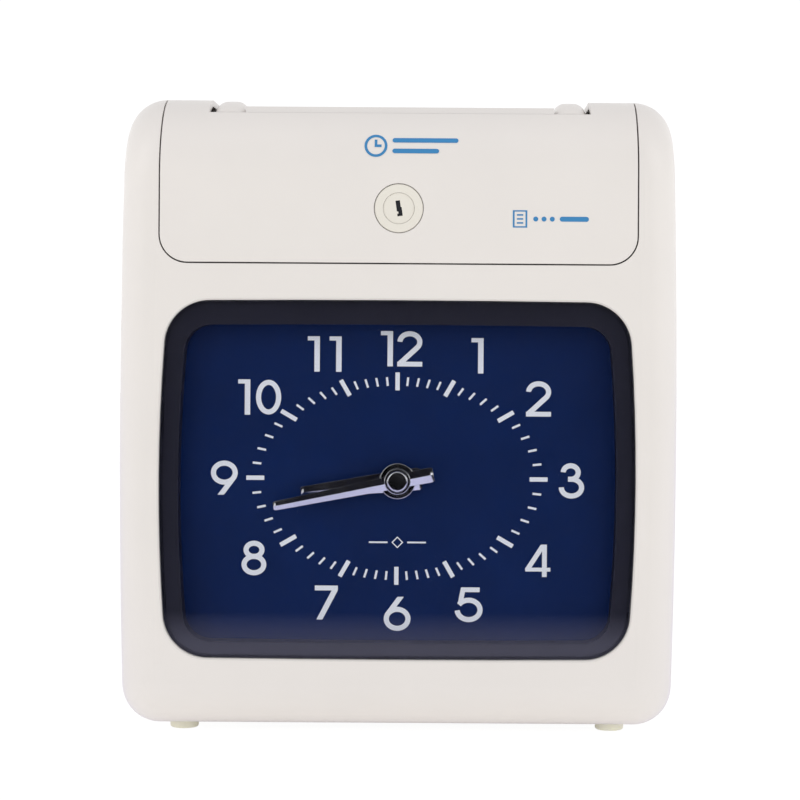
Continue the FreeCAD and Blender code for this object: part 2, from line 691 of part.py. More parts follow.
def inlet_hump(side, inset):
    """Solid end hump of the inlet, following the curve of the case; inset draws every face in."""
    x0, x1 = sorted((side * (HUMP_INNER + inset), side * (INLET_HALF - inset)))
    y0, y1 = INLET_Y[0] + inset, INLET_Y[1] - inset
    curve_y = FRONT + TOP_FRONT_R
    top = TOP - INLET_SUNK - inset

    def on_curve(y):
        return (x0, y, inlet_curve_z(y, inset))
    outline = Part.Wire([
        line((x0, y1, INLET_BOTTOM), (x0, y0, INLET_BOTTOM)),
        line((x0, y0, INLET_BOTTOM), on_curve(y0)),
        arc(on_curve(y0), on_curve((y0 + curve_y) / 2), (x0, curve_y, top)),
        line((x0, curve_y, top), (x0, y1, top)),
        line((x0, y1, top), (x0, y1, INLET_BOTTOM)),
    ])
    return Part.Face(outline).extrude(V(x1 - x0, 0, 0))


def inlet_funnel(inset, half):
    """Solid block under the funnel's sloping faces; inset draws it in."""
    y0, y1 = INLET_Y[0] + inset, INLET_Y[1] - inset
    drop = inset * 1.15
    throat_z = FUNNEL_THROAT_Z - drop
    return prism_x([(y0, INLET_BOTTOM - inset), (y0, inlet_curve_z(y0, inset)),
                    (FUNNEL_LIP_Y, inlet_curve_z(FUNNEL_LIP_Y, inset)),
                    (CARD_Y - SLOT_DEPTH, throat_z), (CARD_Y + SLOT_DEPTH, throat_z),
                    (y1, FUNNEL_BACK_Z - drop), (y1, INLET_BOTTOM - inset)], -half, half)


def card_inlet():
    """Fixed top piece between the door arms: two rounded humps and the card funnel between them."""
    def is_top_edge(edge):
        bounds = edge.BoundBox
        along = bounds.XLength < 0.01 and bounds.YLength > 5
        across = bounds.YLength < 0.01 and bounds.ZLength < 0.01 and bounds.YMin < INLET_Y[0] + 1
        return bounds.ZMin > TOP - 8 and (along or across)
    humps = both_sides(lambda side: fillet_edges(inlet_hump(side, 0), HUMP_R, is_top_edge))
    outer = fuse(humps + [inlet_funnel(0, HUMP_INNER)])
    hollow = both_sides(lambda side: inlet_hump(side, INLET_SKIN).common(
        box(-WIDTH, WIDTH, -DEPTH, DEPTH, 0, TOP - 2 * INLET_SKIN)))
    hollow += [inlet_funnel(INLET_SKIN, HUMP_INNER + INLET_SKIN + 0.1)]
    neck = box(-SLOT_HALF - 2, SLOT_HALF + 2, CARD_Y - 5, CARD_Y + 5, GUIDE_TOP, FUNNEL_THROAT_Z - 0.8)
    slot = box(-SLOT_HALF, SLOT_HALF, CARD_Y - SLOT_DEPTH / 2, CARD_Y + SLOT_DEPTH / 2, 200, TOP)
    pins = both_sides(lambda side: rod_x(HINGE_PIN_R, *sorted((side * (INLET_HALF - 2), side * ARM_INNER)),
                                         HINGE_Y, HINGE_Z))
    return cut(fuse([cut(outer, hollow), neck]), [slot] + pins)


# ---- window, bezel and dial ---------------------------------------------------------------------

def dial_window():
    """Clear window: a plate that fills the opening, with a thin flange behind the cover."""
    plate = window_slab(-0.3, FRONT + 0.3, FRONT + WALL)
    plate = fillet_edges(plate, 0.35, lambda edge: edge.BoundBox.YMax < FRONT + 0.31)
    flange = window_slab(FLANGE, FRONT + WALL, BEZEL_FRONT)
    hollow = window_slab(-1.2, FRONT + 2.3, BEZEL_FRONT + PAST)
    return cut(fuse([plate, flange]), [hollow])


def dial_bezel():
    """Dark frame behind the window, staked to the cover by four lugs."""
    flange = window_slab(FLANGE, BEZEL_FRONT, BEZEL_FRONT + 2)
    wall = opening_slab(4.2, BEZEL_FRONT + 2, DIAL_FRONT + DIAL_SHEET)
    lugs = []
    for x, z in bezel_pegs():
        away = 1 if z > WINDOW_Z else -1
        z0, z1 = sorted((WINDOW_Z + away * (WINDOW_HALF_H - 4), z + away * 4))
        lugs.append(rounded_slab_y(x - 4, x + 4, BEZEL_FRONT, BEZEL_FRONT + 2, z0, z1, 2.0))
    opening = opening_slab(0, BEZEL_FRONT - PAST, DIAL_FRONT + 5)
    rebate = opening_slab(2.2, DIAL_FRONT, DIAL_FRONT + 5)
    peg_holes = [rod_y(PEG_R, FRONT, DIAL_FRONT, x, z) for x, z in bezel_pegs()]
    return cut(fuse([flange, wall] + lugs), [opening, rebate] + peg_holes)


def dial_plate():
    plate = opening_slab(2.0, DIAL_FRONT, DIAL_FRONT + DIAL_SHEET)
    return cut(plate, [rod_y(NECK_R, DIAL_FRONT - 1, DIAL_FRONT + 5, 0, HAND_Z)])


# ---- movement and hands -------------------------------------------------------------------------

WHEEL_X = GEAR_MODULE * (CANNON_TEETH + MINUTE_WHEEL_TEETH) / 2
MOTOR_Z = HAND_Z - GEAR_MODULE * (DRIVE_WHEEL_TEETH + CLOCK_PINION_TEETH) / 2
MOVEMENT_BOX = (-20.0, 30.0, HAND_Z - 32.0, HAND_Z + 20.0)
MOVEMENT_FRONT = DIAL_FRONT + DIAL_SHEET


def bore_y(radius, x, z):
    """Cutter that goes through the whole movement along Y."""
    return rod_y(radius, DIAL_FRONT - 10, MOVEMENT_BACK + 4, x, z)


def movement_shell(y0, y1, floor_y0, floor_y1):
    """Half of the movement's case: four walls from y0 to y1 with one closed floor."""
    x0, x1, z0, z1 = MOVEMENT_BOX
    t = MOVEMENT_WALL
    outer = rounded_slab_y(x0, x1, y0, y1, z0, z1, 4.0)
    inner = rounded_slab_y(x0 + t, x1 - t, y0 - PAST, y1 + PAST, z0 + t, z1 - t, 2.5)
    floor = rounded_slab_y(x0, x1, floor_y0, floor_y1, z0, z1, 4.0)
    return fuse([outer.cut(inner), floor])


def movement_front():
    """Front half of the movement: the neck that passes through the dial, and a fixed post."""
    floor = MOVEMENT_FRONT + MOVEMENT_WALL
    shell = movement_shell(MOVEMENT_FRONT, MOVEMENT_SPLIT, MOVEMENT_FRONT, floor)
    neck = rod_y(NECK_R, DIAL_FRONT - 2.3, MOVEMENT_FRONT + 1, 0, HAND_Z)
    post = rod_y(POST_R, MOVEMENT_FRONT + 1, POST_END, WHEEL_X, HAND_Z)
    return cut(fuse([shell, neck, post]), [bore_y(PIPE_R + RUNNING, 0, HAND_Z)])


def movement_back():
    """Rear half of the movement, with the arbor's rear bearing and the way in for the motor."""
    shell = movement_shell(MOVEMENT_SPLIT, MOVEMENT_BACK, MOVEMENT_BACK - MOVEMENT_WALL,
                           MOVEMENT_BACK)
    return cut(shell, [bore_y(ARBOR_R + RUNNING, 0, HAND_Z), bore_y(4 * MOTOR_SHAFT_R, 0, MOTOR_Z)])


def movement_nut():
    nut = hexagon_y(NUT_FLATS, DIAL_FRONT - 2.0, DIAL_FRONT, 0, HAND_Z)
    return cut(nut, [bore_y(NECK_R, 0, HAND_Z)])


def minute_arbor():
    """Centre arbor that carries the minute hand in front and the cannon pinion inside."""
    shaft = rod_y(ARBOR_R, DIAL_FRONT - MINUTE_HAND_BACK - 2, MOVEMENT_BACK + 0.5, 0, HAND_Z)
    return fuse([shaft, gear_y(CANNON_TEETH, GEAR_MODULE, 0, *CANNON_Y, 0, HAND_Z)])


def drive_wheel():
    """Centre wheel that the motor turns, lightened by five round holes."""
    wheel = gear_y(DRIVE_WHEEL_TEETH, GEAR_MODULE, -math.pi / 2, *DRIVE_WHEEL_Y, 0, HAND_Z)
    hub = rod_y(3.0, DRIVE_WHEEL_Y[0] - 0.9, DRIVE_WHEEL_Y[1] + 2, 0, HAND_Z)
    hole_count, hole_r, hole_circle = 5, 3.1, 8.4
    holes = []
    for k in range(hole_count):
        angle = math.radians(360 * k / hole_count + 18)
        holes.append(bore_y(hole_r, hole_circle * math.cos(angle), HAND_Z + hole_circle * math.sin(angle)))
    return cut(fuse([wheel, hub]), holes + [bore_y(ARBOR_R, 0, HAND_Z)])


def hour_wheel():
    """Hour wheel on its pipe; the pipe runs in the neck and on the arbor."""
    phase = math.pi / HOUR_WHEEL_TEETH
    wheel = gear_y(HOUR_WHEEL_TEETH, GEAR_MODULE, phase, *HOUR_WHEEL_Y, 0, HAND_Z)
    pipe = rod_y(PIPE_R, DIAL_FRONT - HOUR_HAND_BACK - 1.4, HOUR_WHEEL_Y[1] + 0.4, 0, HAND_Z)
    return cut(fuse([wheel, pipe]), [bore_y(ARBOR_R + RUNNING, 0, HAND_Z)])


def minute_wheel():
    """Intermediate wheel driven by the cannon pinion, with the pinion that turns the hour wheel."""
    phase = math.pi + math.pi / MINUTE_WHEEL_TEETH
    wheel = gear_y(MINUTE_WHEEL_TEETH, GEAR_MODULE, phase, *MINUTE_WHEEL_Y, WHEEL_X, HAND_Z)
    pinion = gear_y(MINUTE_PINION_TEETH, GEAR_MODULE, math.pi, *MINUTE_PINION_Y, WHEEL_X, HAND_Z)
    return cut(fuse([wheel, pinion]), [bore_y(POST_R + RUNNING, WHEEL_X, HAND_Z)])


def clock_motor():
    """Stepping motor on the back of the movement."""
    back = MOVEMENT_BACK + CLOCK_MOTOR_LONG
    can = rod_y(CLOCK_MOTOR_R, MOVEMENT_BACK, back, 0, MOTOR_Z)
    can = fillet_edges(can, 1.0, lambda edge: edge.BoundBox.YMin > back - 1)
    ears = rounded_slab_y(-16, 16, MOVEMENT_BACK, MOVEMENT_BACK + 1, MOTOR_Z - 4, MOTOR_Z + 4, 3.5)
    bore = rod_y(MOTOR_SHAFT_R + RUNNING, MOVEMENT_BACK - PAST, back - 4, 0, MOTOR_Z)
    return cut(fuse([can, ears]), [bore])


def clock_pinion():
    phase = math.pi / 2 + math.pi / CLOCK_PINION_TEETH
    pinion = gear_y(CLOCK_PINION_TEETH, GEAR_MODULE, phase, *CLOCK_PINION_Y, 0, MOTOR_Z)
    shaft_end = MOVEMENT_BACK + CLOCK_MOTOR_LONG - 4.5
    shaft = rod_y(MOTOR_SHAFT_R, CLOCK_PINION_Y[0] - 0.3, shaft_end, 0, MOTOR_Z)
    return fuse([pinion, shaft])


def ridge_section(distance, width, ridge, back):
    """Cross-section of a hand at one distance along it: a flat back, low edges and a ridge."""
    half = width / 2
    front = back - HAND_EDGE
    corners = [(-half, back), (half, back), (half, front), (0, back - ridge), (-half, front)]
    return Part.makePolygon([V(u, y, distance) for u, y in corners + corners[:1]])


def hand_stations(tail, length, tail_width, hub_width, tip_width):
    """Distance, width and ridge height along a hand, with a short slope at each blunt end."""
    slope = 1.0
    low_ridge = HAND_EDGE + 0.05
    return [(-tail, tail_width * 0.85, low_ridge), (slope - tail, tail_width, HAND_RIDGE),
            (0, hub_width, HAND_RIDGE), (length - slope, tip_width, HAND_RIDGE),
            (length, tip_width * 0.8, low_ridge)]


def hand(stations, back, hub_r, bore_r, clock_angle):
    """A ridged hand pointing up, turned clockwise as seen from the front by clock_angle degrees."""
    sections = [ridge_section(*station, back) for station in stations]
    bar = fuse([Part.makeLoft([a, b], True, True) for a, b in zip(sections, sections[1:])])
    hub = rod_y(hub_r, back - HAND_HUB, back, 0, 0)
    hub = fillet_edges(hub, 0.3, lambda edge: edge.BoundBox.YMax < back - HAND_HUB + 0.01)
    shape = cut(fuse([bar, hub]), [rod_y(bore_r, back - HAND_HUB - PAST, back + PAST, 0, 0)])
    shape.translate(V(0, 0, HAND_Z))
    shape.rotate(V(0, 0, HAND_Z), V(0, 1, 0), clock_angle)
    return shape


def hour_hand():
    stations = hand_stations(HOUR_TAIL, HOUR_LENGTH, 8.2, 7.8, 4.2)
    return hand(stations, DIAL_FRONT - HOUR_HAND_BACK, HOUR_HUB_R, PIPE_R, HOUR_ANGLE)


def minute_hand():
    stations = hand_stations(MINUTE_TAIL, MINUTE_LENGTH, 5.5, 5.0, 3.3)
    return hand(stations, DIAL_FRONT - MINUTE_HAND_BACK, MINUTE_HUB_R, ARBOR_R, MINUTE_ANGLE)


def hand_cap():
    """Domed cap on the end of the arbor."""
    y1 = DIAL_FRONT - MINUTE_HAND_BACK - HAND_HUB
    y0 = y1 - 1.7
    cap = rod_y(CAP_R, y0, y1, 0, HAND_Z)
    cap = fillet_edges(cap, 0.9, lambda edge: edge.BoundBox.YMax < y0 + 0.01)
    return cut(cap, [rod_y(ARBOR_R, y0 + 0.7, y1 + PAST, 0, HAND_Z)])


# ---- chassis and card path ----------------------------------------------------------------------

FEED_Y = CARD_Y + CARD_NIP / 2 + FEED_ROLLER_R
PINCH_Y = CARD_Y - CARD_NIP / 2 - PINCH_ROLLER_R
FEED_MOTOR_Y = FEED_Y + FEED_MODULE * (FEED_GEAR_TEETH + FEED_PINION_TEETH) / 2
ACROSS = CHASSIS_HALF + SHEET + 2.5     # half length of a cutter that goes through both sides


def chassis():
    """Folded steel frame: a base, two upright sides and a cross rail for the carriage drive."""
    inner, outer = CHASSIS_HALF, CHASSIS_HALF + SHEET
    base = box(-outer, outer, CHASSIS_FRONT + 6, 42.0, CHASSIS_BASE, CHASSIS_BASE + SHEET)
    sides = both_sides(lambda side: box(*sorted((side * inner, side * outer)), CHASSIS_FRONT,
                                        CHASSIS_REAR, CHASSIS_BASE, CHASSIS_TOP))
    rail = box(-inner - 0.5, inner + 0.5, RAIL_Y, RAIL_Y + RAIL_SHEET, *RAIL_Z)
    holes = [rod_x(ROD_R, -ACROSS, ACROSS, y, z) for y, z in RODS]
    holes.append(rod_x(SHAFT_R + RUNNING, -ACROSS, ACROSS, FEED_Y, FEED_Z))
    holes.append(rod_x(PINCH_SHAFT_R + RUNNING, -ACROSS, ACROSS, PINCH_Y, FEED_Z))
    holes.append(rod_x(3 * FEED_MOTOR_SHAFT_R, inner - PAST, ACROSS, FEED_MOTOR_Y, FEED_Z))
    holes.append(rod_y(3.0, RAIL_Y - PAST, RAIL_Y + RAIL_SHEET + PAST, PULLEY_X, PULLEY_Z))
    windows = [box(-ACROSS, ACROSS, -25.0, 12.0, z0, z1) for z0, z1 in SIDE_WINDOWS]
    stud = fuse([rod_y(STUD_R, RAIL_Y, STUD_Y[1], -PULLEY_X, PULLEY_Z),
                 rod_y(STUD_HEAD_R, *STUD_Y, -PULLEY_X, PULLEY_Z),
                 rod_y(STUD_HEAD_R, RAIL_Y - 1.0, RAIL_Y, -PULLEY_X, PULLEY_Z)])
    screws = [rod_z(M3_R, CHASSIS_BASE - PAST, CHASSIS_BASE + SHEET + PAST, side * CASE_SCREW_X, y)
              for side in (-1, 1) for y in CASE_SCREW_Y]
    return fuse([cut(fuse([base, rail] + sides), holes + windows + screws), stud])


def guide_tabs(y0, y1):
    """Side tabs that carry a card guide on the chassis walls."""
    half_height = 6.0
    tabs = []
    for z in TAB_Z:
        tabs += both_sides(lambda side: box(*sorted((side * (GUIDE_HALF - 1), side * CHASSIS_HALF)),
                                            y0, y1, z - half_height, z + half_height))
    return tabs


def roller_gaps(y0, y1, half_height):
    """Cutters for the two windows in a card guide that the rollers reach through."""
    half_width = ROLLER_HALF + 2
    return [box(x - half_width, x + half_width, y0 - PAST, y1 + PAST, FEED_Z - half_height,
                FEED_Z + half_height) for x in (-FEED_ROLLER_X, FEED_ROLLER_X)]


def card_guide_front():
    y1 = CARD_Y - GUIDE_GAP / 2
    y0 = y1 - GUIDE_SHEET
    plate = box(-GUIDE_HALF, GUIDE_HALF, y0, y1, GUIDE_BOTTOM, GUIDE_TOP)
    floor = box(-GUIDE_HALF, GUIDE_HALF, y0, CARD_Y + GUIDE_GAP / 2, GUIDE_BOTTOM - 1.5, GUIDE_BOTTOM)
    print_gap = box(-45, 45, y0 - PAST, y1 + PAST, PRINT_Z - 7, PRINT_Z + 7)
    return cut(fuse([plate, floor] + guide_tabs(y0, y1)), roller_gaps(y0, y1, 8.0) + [print_gap])


def card_guide_rear():
    y0 = CARD_Y + GUIDE_GAP / 2
    y1 = y0 + GUIDE_SHEET
    plate = box(-GUIDE_HALF, GUIDE_HALF, y0, y1, GUIDE_BOTTOM, GUIDE_TOP)
    platen_gap = box(-46, 46, y0 - PAST, y1 + PAST, PRINT_Z - 6, PRINT_Z + 6)
    return cut(fuse([plate] + guide_tabs(y0, y1)), roller_gaps(y0, y1, 10.0) + [platen_gap])


def platen_bar():
    """Fixed bar behind the card that takes the blows of the print head."""
    half_height, half_length, back = 5.0, 45.0, CARD_Y + 8
    z0, z1 = PRINT_Z - half_height, PRINT_Z + half_height
    bar = box(-half_length, half_length, CARD_Y + 1.4, back, z0, z1)
    ends = both_sides(lambda side: box(*sorted((side * (half_length - 1), side * CHASSIS_HALF)),
                                       CARD_Y + 4, back, z0, z1))
    return fuse([bar] + ends)


def feed_shaft():
    return rod_x(SHAFT_R, -CHASSIS_HALF - 4, FEED_GEAR_X[1] + 1, FEED_Y, FEED_Z)


def ring_x(outer_r, inner_r, x0, x1, y, z):
    return rod_x(outer_r, x0, x1, y, z).cut(rod_x(inner_r, x0 - PAST, x1 + PAST, y, z))


def feed_rollers():
    return Part.Compound([ring_x(FEED_ROLLER_R, SHAFT_R, x - ROLLER_HALF, x + ROLLER_HALF, FEED_Y, FEED_Z)
                          for x in (-FEED_ROLLER_X, FEED_ROLLER_X)])


def feed_gear():
    """Large gear on the feed shaft, lightened by a circle of round holes."""
    x0, x1 = FEED_GEAR_X
    gear = gear_x(FEED_GEAR_TEETH, FEED_MODULE, 0, x0, x1, FEED_Y, FEED_Z)
    hole_count, hole_r, hole_circle = 6, 2.4, 7.0
    holes = []
    for k in range(hole_count):
        angle = math.radians(360 * k / hole_count + 30)
        holes.append(rod_x(hole_r, x0 - PAST, x1 + PAST, FEED_Y + hole_circle * math.cos(angle),
                           FEED_Z + hole_circle * math.sin(angle)))
    return cut(gear, holes + [rod_x(SHAFT_R, x0 - PAST, x1 + PAST, FEED_Y, FEED_Z)])


def feed_motor():
    x0 = CHASSIS_HALF - FEED_MOTOR_LONG
    can = rod_x(FEED_MOTOR_R, x0, CHASSIS_HALF, FEED_MOTOR_Y, FEED_Z)
    can = fillet_edges(can, 1.2, lambda edge: edge.BoundBox.XMax < x0 + 1)
    bore = rod_x(FEED_MOTOR_SHAFT_R + RUNNING, x0 + 6, CHASSIS_HALF + PAST, FEED_MOTOR_Y, FEED_Z)
    return cut(can, [bore])


def feed_pinion():
    phase = math.pi + math.pi / FEED_PINION_TEETH
    x0, x1 = FEED_GEAR_X
    gear = gear_x(FEED_PINION_TEETH, FEED_MODULE, phase, x0 - 0.5, x1 + 0.5, FEED_MOTOR_Y, FEED_Z)
    shaft = rod_x(FEED_MOTOR_SHAFT_R, CHASSIS_HALF - FEED_MOTOR_LONG + 7, x1 + 1, FEED_MOTOR_Y, FEED_Z)
    return fuse([gear, shaft])


def pinch_roller():
    """Free-running shaft with two plain rollers that press the card on the feed rollers."""
    rollers = [rod_x(PINCH_ROLLER_R, x - ROLLER_HALF, x + ROLLER_HALF, PINCH_Y, FEED_Z)
               for x in (-FEED_ROLLER_X, FEED_ROLLER_X)]
    return fuse([rod_x(PINCH_SHAFT_R, -PINCH_REACH, PINCH_REACH, PINCH_Y, FEED_Z)] + rollers)


# ---- print carriage -----------------------------------------------------------------------------

def guide_rods():
    return Part.Compound([rod_x(ROD_R, -CHASSIS_HALF - 3, CHASSIS_HALF + 3, y, z) for y, z in RODS])


def head_block():
    return box(-HEAD_HALF, HEAD_HALF, *HEAD_Y, PRINT_Z - HEAD_TALL, PRINT_Z + HEAD_TALL)


def print_carriage():
    """Moulded carriage on the two rods, clamped to the upper run of the belt."""
    body = rounded_slab_y(-CARRIAGE_HALF, CARRIAGE_HALF, *CARRIAGE_Y, *CARRIAGE_Z, 2.0)
    clamp = box(-5, 5, *CLAMP_Y, PULLEY_Z + PULLEY_R + 0.6, CARRIAGE_Z[0] + 1)
    bores = [rod_x(ROD_R + RUNNING, -CARRIAGE_HALF - PAST, CARRIAGE_HALF + PAST, y, z) for y, z in RODS]
    return cut(fuse([body, clamp]), bores + [head_block()])


def print_head():
    """Dot-matrix head: a finned block with a narrow nose towards the card."""
    nose = box(-NOSE_HALF, NOSE_HALF, HEAD_Y[1], CARD_Y - 2.2, PRINT_Z - NOSE_TALL, PRINT_Z + NOSE_TALL)
    grooves = [box(x - 0.5, x + 0.5, HEAD_Y[1] - 4, HEAD_Y[1] + PAST, PRINT_Z - 2 * HEAD_TALL,
                   PRINT_Z + 2 * HEAD_TALL) for x in (-7.5, -5.5, 5.5, 7.5)]
    return cut(fuse([head_block(), nose]), grooves)


def belt_outline(radius):
    """Closed racetrack around the two pulleys at one radius, as a solid of the belt's width."""
    y = BELT_Y[0]
    x, z = PULLEY_X, PULLEY_Z
    return Part.Face(Part.Wire([
        line((-x, y, z + radius), (x, y, z + radius)),
        arc((x, y, z + radius), (x + radius, y, z), (x, y, z - radius)),
        line((x, y, z - radius), (-x, y, z - radius)),
        arc((-x, y, z - radius), (-x - radius, y, z), (-x, y, z + radius)),
    ])).extrude(V(0, BELT_Y[1] - BELT_Y[0], 0))


def drive_belt():
    inner_r = PULLEY_R + RUNNING
    return belt_outline(inner_r + BELT_SHEET).cut(belt_outline(inner_r))


def pulley(x):
    """Flanged pulley for the belt, on an axis along Y."""
    y0, y1 = DRUM_Y
    drum = rod_y(PULLEY_R, y0, y1, x, PULLEY_Z)
    flanges = [rod_y(PULLEY_FLANGE_R, y, y + PULLEY_FLANGE, x, PULLEY_Z) for y in (y0 - PULLEY_FLANGE, y1)]
    return fuse([drum] + flanges)


def belt_pulley():
    """Idler pulley that turns on a fixed stud."""
    bore = rod_y(STUD_R + RUNNING, RAIL_Y, STUD_Y[1], -PULLEY_X, PULLEY_Z)
    return cut(pulley(-PULLEY_X), [bore])


def motor_pulley():
    """Driven pulley with the rotor shaft of the carriage motor."""
    shaft = rod_y(FEED_MOTOR_SHAFT_R, RAIL_Y - CARRIAGE_MOTOR_LONG + 2, DRUM_Y[1] + 0.6, PULLEY_X, PULLEY_Z)
    return fuse([pulley(PULLEY_X), shaft])


def carriage_motor():
    """Flat stepping motor screwed to the front of the cross rail."""
    y0 = RAIL_Y - CARRIAGE_MOTOR_LONG
    can = rod_y(CARRIAGE_MOTOR_R, y0, RAIL_Y, PULLEY_X, PULLEY_Z)
    can = fillet_edges(can, 1.0, lambda edge: edge.BoundBox.YMax < y0 + 1)
    bore = rod_y(FEED_MOTOR_SHAFT_R + RUNNING, y0 + 1.5, RAIL_Y + PAST, PULLEY_X, PULLEY_Z)
    return cut(can, [bore])


# ---- ribbon -------------------------------------------------------------------------------------

def ribbon_cartridge():
    """Ribbon box above the carriage, with two arms that lead the ribbon down past the head."""
    case = rounded_slab_y(-RIBBON_HALF, RIBBON_HALF, *RIBBON_Y, *RIBBON_Z, 3.0)
    arms = both_sides(lambda side: box(*sorted((side * RIBBON_ARM_X, side * RIBBON_HALF)), *RIBBON_ARM_Y,
                                       *RIBBON_ARM_Z))
    knob_hole = rod_y(KNOB_SHAFT_R + RUNNING, RIBBON_Y[0] - PAST, KNOB_SHAFT_END + 0.5, KNOB_X, KNOB_Z)
    return cut(fuse([case] + arms), [knob_hole])


def ribbon_band():
    """The stretch of inked ribbon between the arms, in front of the card."""
    return box(-RIBBON_HALF, RIBBON_HALF, CARD_Y - 1.9, CARD_Y - 1.6, PRINT_Z - NOSE_TALL,
               PRINT_Z + NOSE_TALL)


def ribbon_knob():
    """Knurled knob that takes up slack ribbon by hand."""
    notch_count, notch_r, notch_circle = 16, 0.6, KNOB_R + 0.1
    notches = []
    for k in range(notch_count):
        angle = 2 * math.pi * k / notch_count
        x = KNOB_X + notch_circle * math.cos(angle)
        z = KNOB_Z + notch_circle * math.sin(angle)
        notches.append(rod_y(notch_r, KNOB_Y[0] - PAST, KNOB_Y[1] + PAST, x, z))
    knob = cut(rod_y(KNOB_R, *KNOB_Y, KNOB_X, KNOB_Z), notches)
    return fuse([knob, rod_y(KNOB_SHAFT_R, KNOB_Y[1], KNOB_SHAFT_END, KNOB_X, KNOB_Z)])


# ---- setting panel ------------------------------------------------------------------------------

BUTTON_PLACES = {
    "set_button_mode": (BUTTON_X[0], BUTTON_Z[0]),
    "set_button_enter": (BUTTON_X[1], BUTTON_Z[0]),
    "set_button_up": (BUTTON_X[1], BUTTON_Z[1]),
    "set_button_down": (BUTTON_X[0], BUTTON_Z[1]),
}


def setting_panel():
    """Panel behind the door with a display window and four buttons, carried by the chassis side."""
    z0, z1 = PANEL_Z
    behind = PANEL_Y + PANEL_SHEET
    plate = rounded_slab_y(*PANEL_X, PANEL_Y, behind, z0, z1, 2.0)
    leg_x = CHASSIS_HALF + SHEET
    leg = box(leg_x, leg_x + 3.5, PANEL_Y, PANEL_LEG_END, z0 + 4, z1 - 4)
    window = box(*DISPLAY_X, PANEL_Y - PAST, behind + PAST, *DISPLAY_Z)
    holes = [rod_y(BUTTON_R + 0.1, PANEL_Y - PAST, behind + PAST, x, z) for x, z in BUTTON_PLACES.values()]
    return cut(fuse([plate, leg]), [window] + holes)


def lcd_display():
    """Small display behind the panel's window, on its circuit board."""
    x0, x1 = DISPLAY_X
    z0, z1 = DISPLAY_Z
    behind = PANEL_Y + PANEL_SHEET
    board_y = PANEL_Y + 6.0
    glass = box(x0, x1, PANEL_Y + 0.6, behind, z0, z1)
    frame = box(x0 - 0.5, x1 + 0.5, behind, board_y, z0 - 0.5, z1 + 0.5)
    board = box(x0 - 1, PANEL_X[1] - 0.5, board_y, board_y + 1.2, PANEL_Z[0] + 1.5, PANEL_Z[1] - 1)
    return fuse([glass, frame, board])


def set_button(x, z):
    """Push button: a cap that stands out of the panel and a collar that stays behind it."""
    collar_y = PANEL_Y + PANEL_SHEET + 0.2
    cap_y = PANEL_Y - 2.0
    cap = rod_y(BUTTON_R, cap_y, collar_y, x, z)
    cap = fillet_edges(cap, 0.5, lambda edge: edge.BoundBox.YMax < cap_y + 0.1)
    return fuse([cap, rod_y(BUTTON_R + 0.8, collar_y, collar_y + 1.4, x, z)])


# ---- electronics --------------------------------------------------------------------------------

def main_board():
    """Control board on the posts of the rear cover, with its larger components."""
    board = box(-BOARD_HALF, BOARD_HALF, BOARD_Y, BOARD_Y + BOARD_SHEET, *BOARD_Z)
    chips = [box(x, x + width, BOARD_Y - depth, BOARD_Y, z, z + height)
             for x, z, width, height, depth in CHIPS]
    capacitors = [rod_y(radius, BOARD_Y - height, BOARD_Y, x, z)
                  for x, z, radius, height in CAPACITORS]
    holes = [rod_y(1.6, BOARD_Y - PAST, BOARD_Y + BOARD_SHEET + PAST, x, z) for x, z in BOARD_POSTS]
    return cut(fuse([board] + chips + capacitors), holes)


def transformer():
    """Laminated mains transformer with its winding, on the floor of the case."""
    z0, z1 = TRANSFORMER_Z
    floor = BOTTOM + WALL

    def centred(half_x, half_y, bottom, top):
        return box(TRANSFORMER_X - half_x, TRANSFORMER_X + half_x, -half_y, half_y, bottom, top)
    core = centred(17, 16, z0, z1)
    winding = centred(10, 22, z0 + 5, z1 - 5)
    strip = box(TRANSFORMER_X - 8, TRANSFORMER_X + 12, -21, 21, floor, floor + 1.5)
    legs = [box(TRANSFORMER_X - 8, TRANSFORMER_X + 12, y, y + 3, floor + 1, z0 + 6) for y in (-16.0, 13.0)]
    return fuse([core, winding, strip] + legs)


def backup_battery():
    """Three rechargeable cells in a tray that keep the time when the mains fails."""
    floor = BOTTOM + WALL
    step = CELL_R * 0.98
    low = floor + 3.5 + CELL_R
    places = [(CELL_X, low), (CELL_X + 2 * step, low), (CELL_X + step, low + CELL_R * 1.68)]
    cells = [rod_y(CELL_R, *CELL_Y, x, z) for x, z in places]
    tray = box(CELL_X - 6, CELL_X + 20, CELL_Y[0] - 2, CELL_Y[1] + 1, floor, floor + 4.5)
    return fuse(cells + [tray])


# ---- assembly -----------------------------------------------------------------------------------

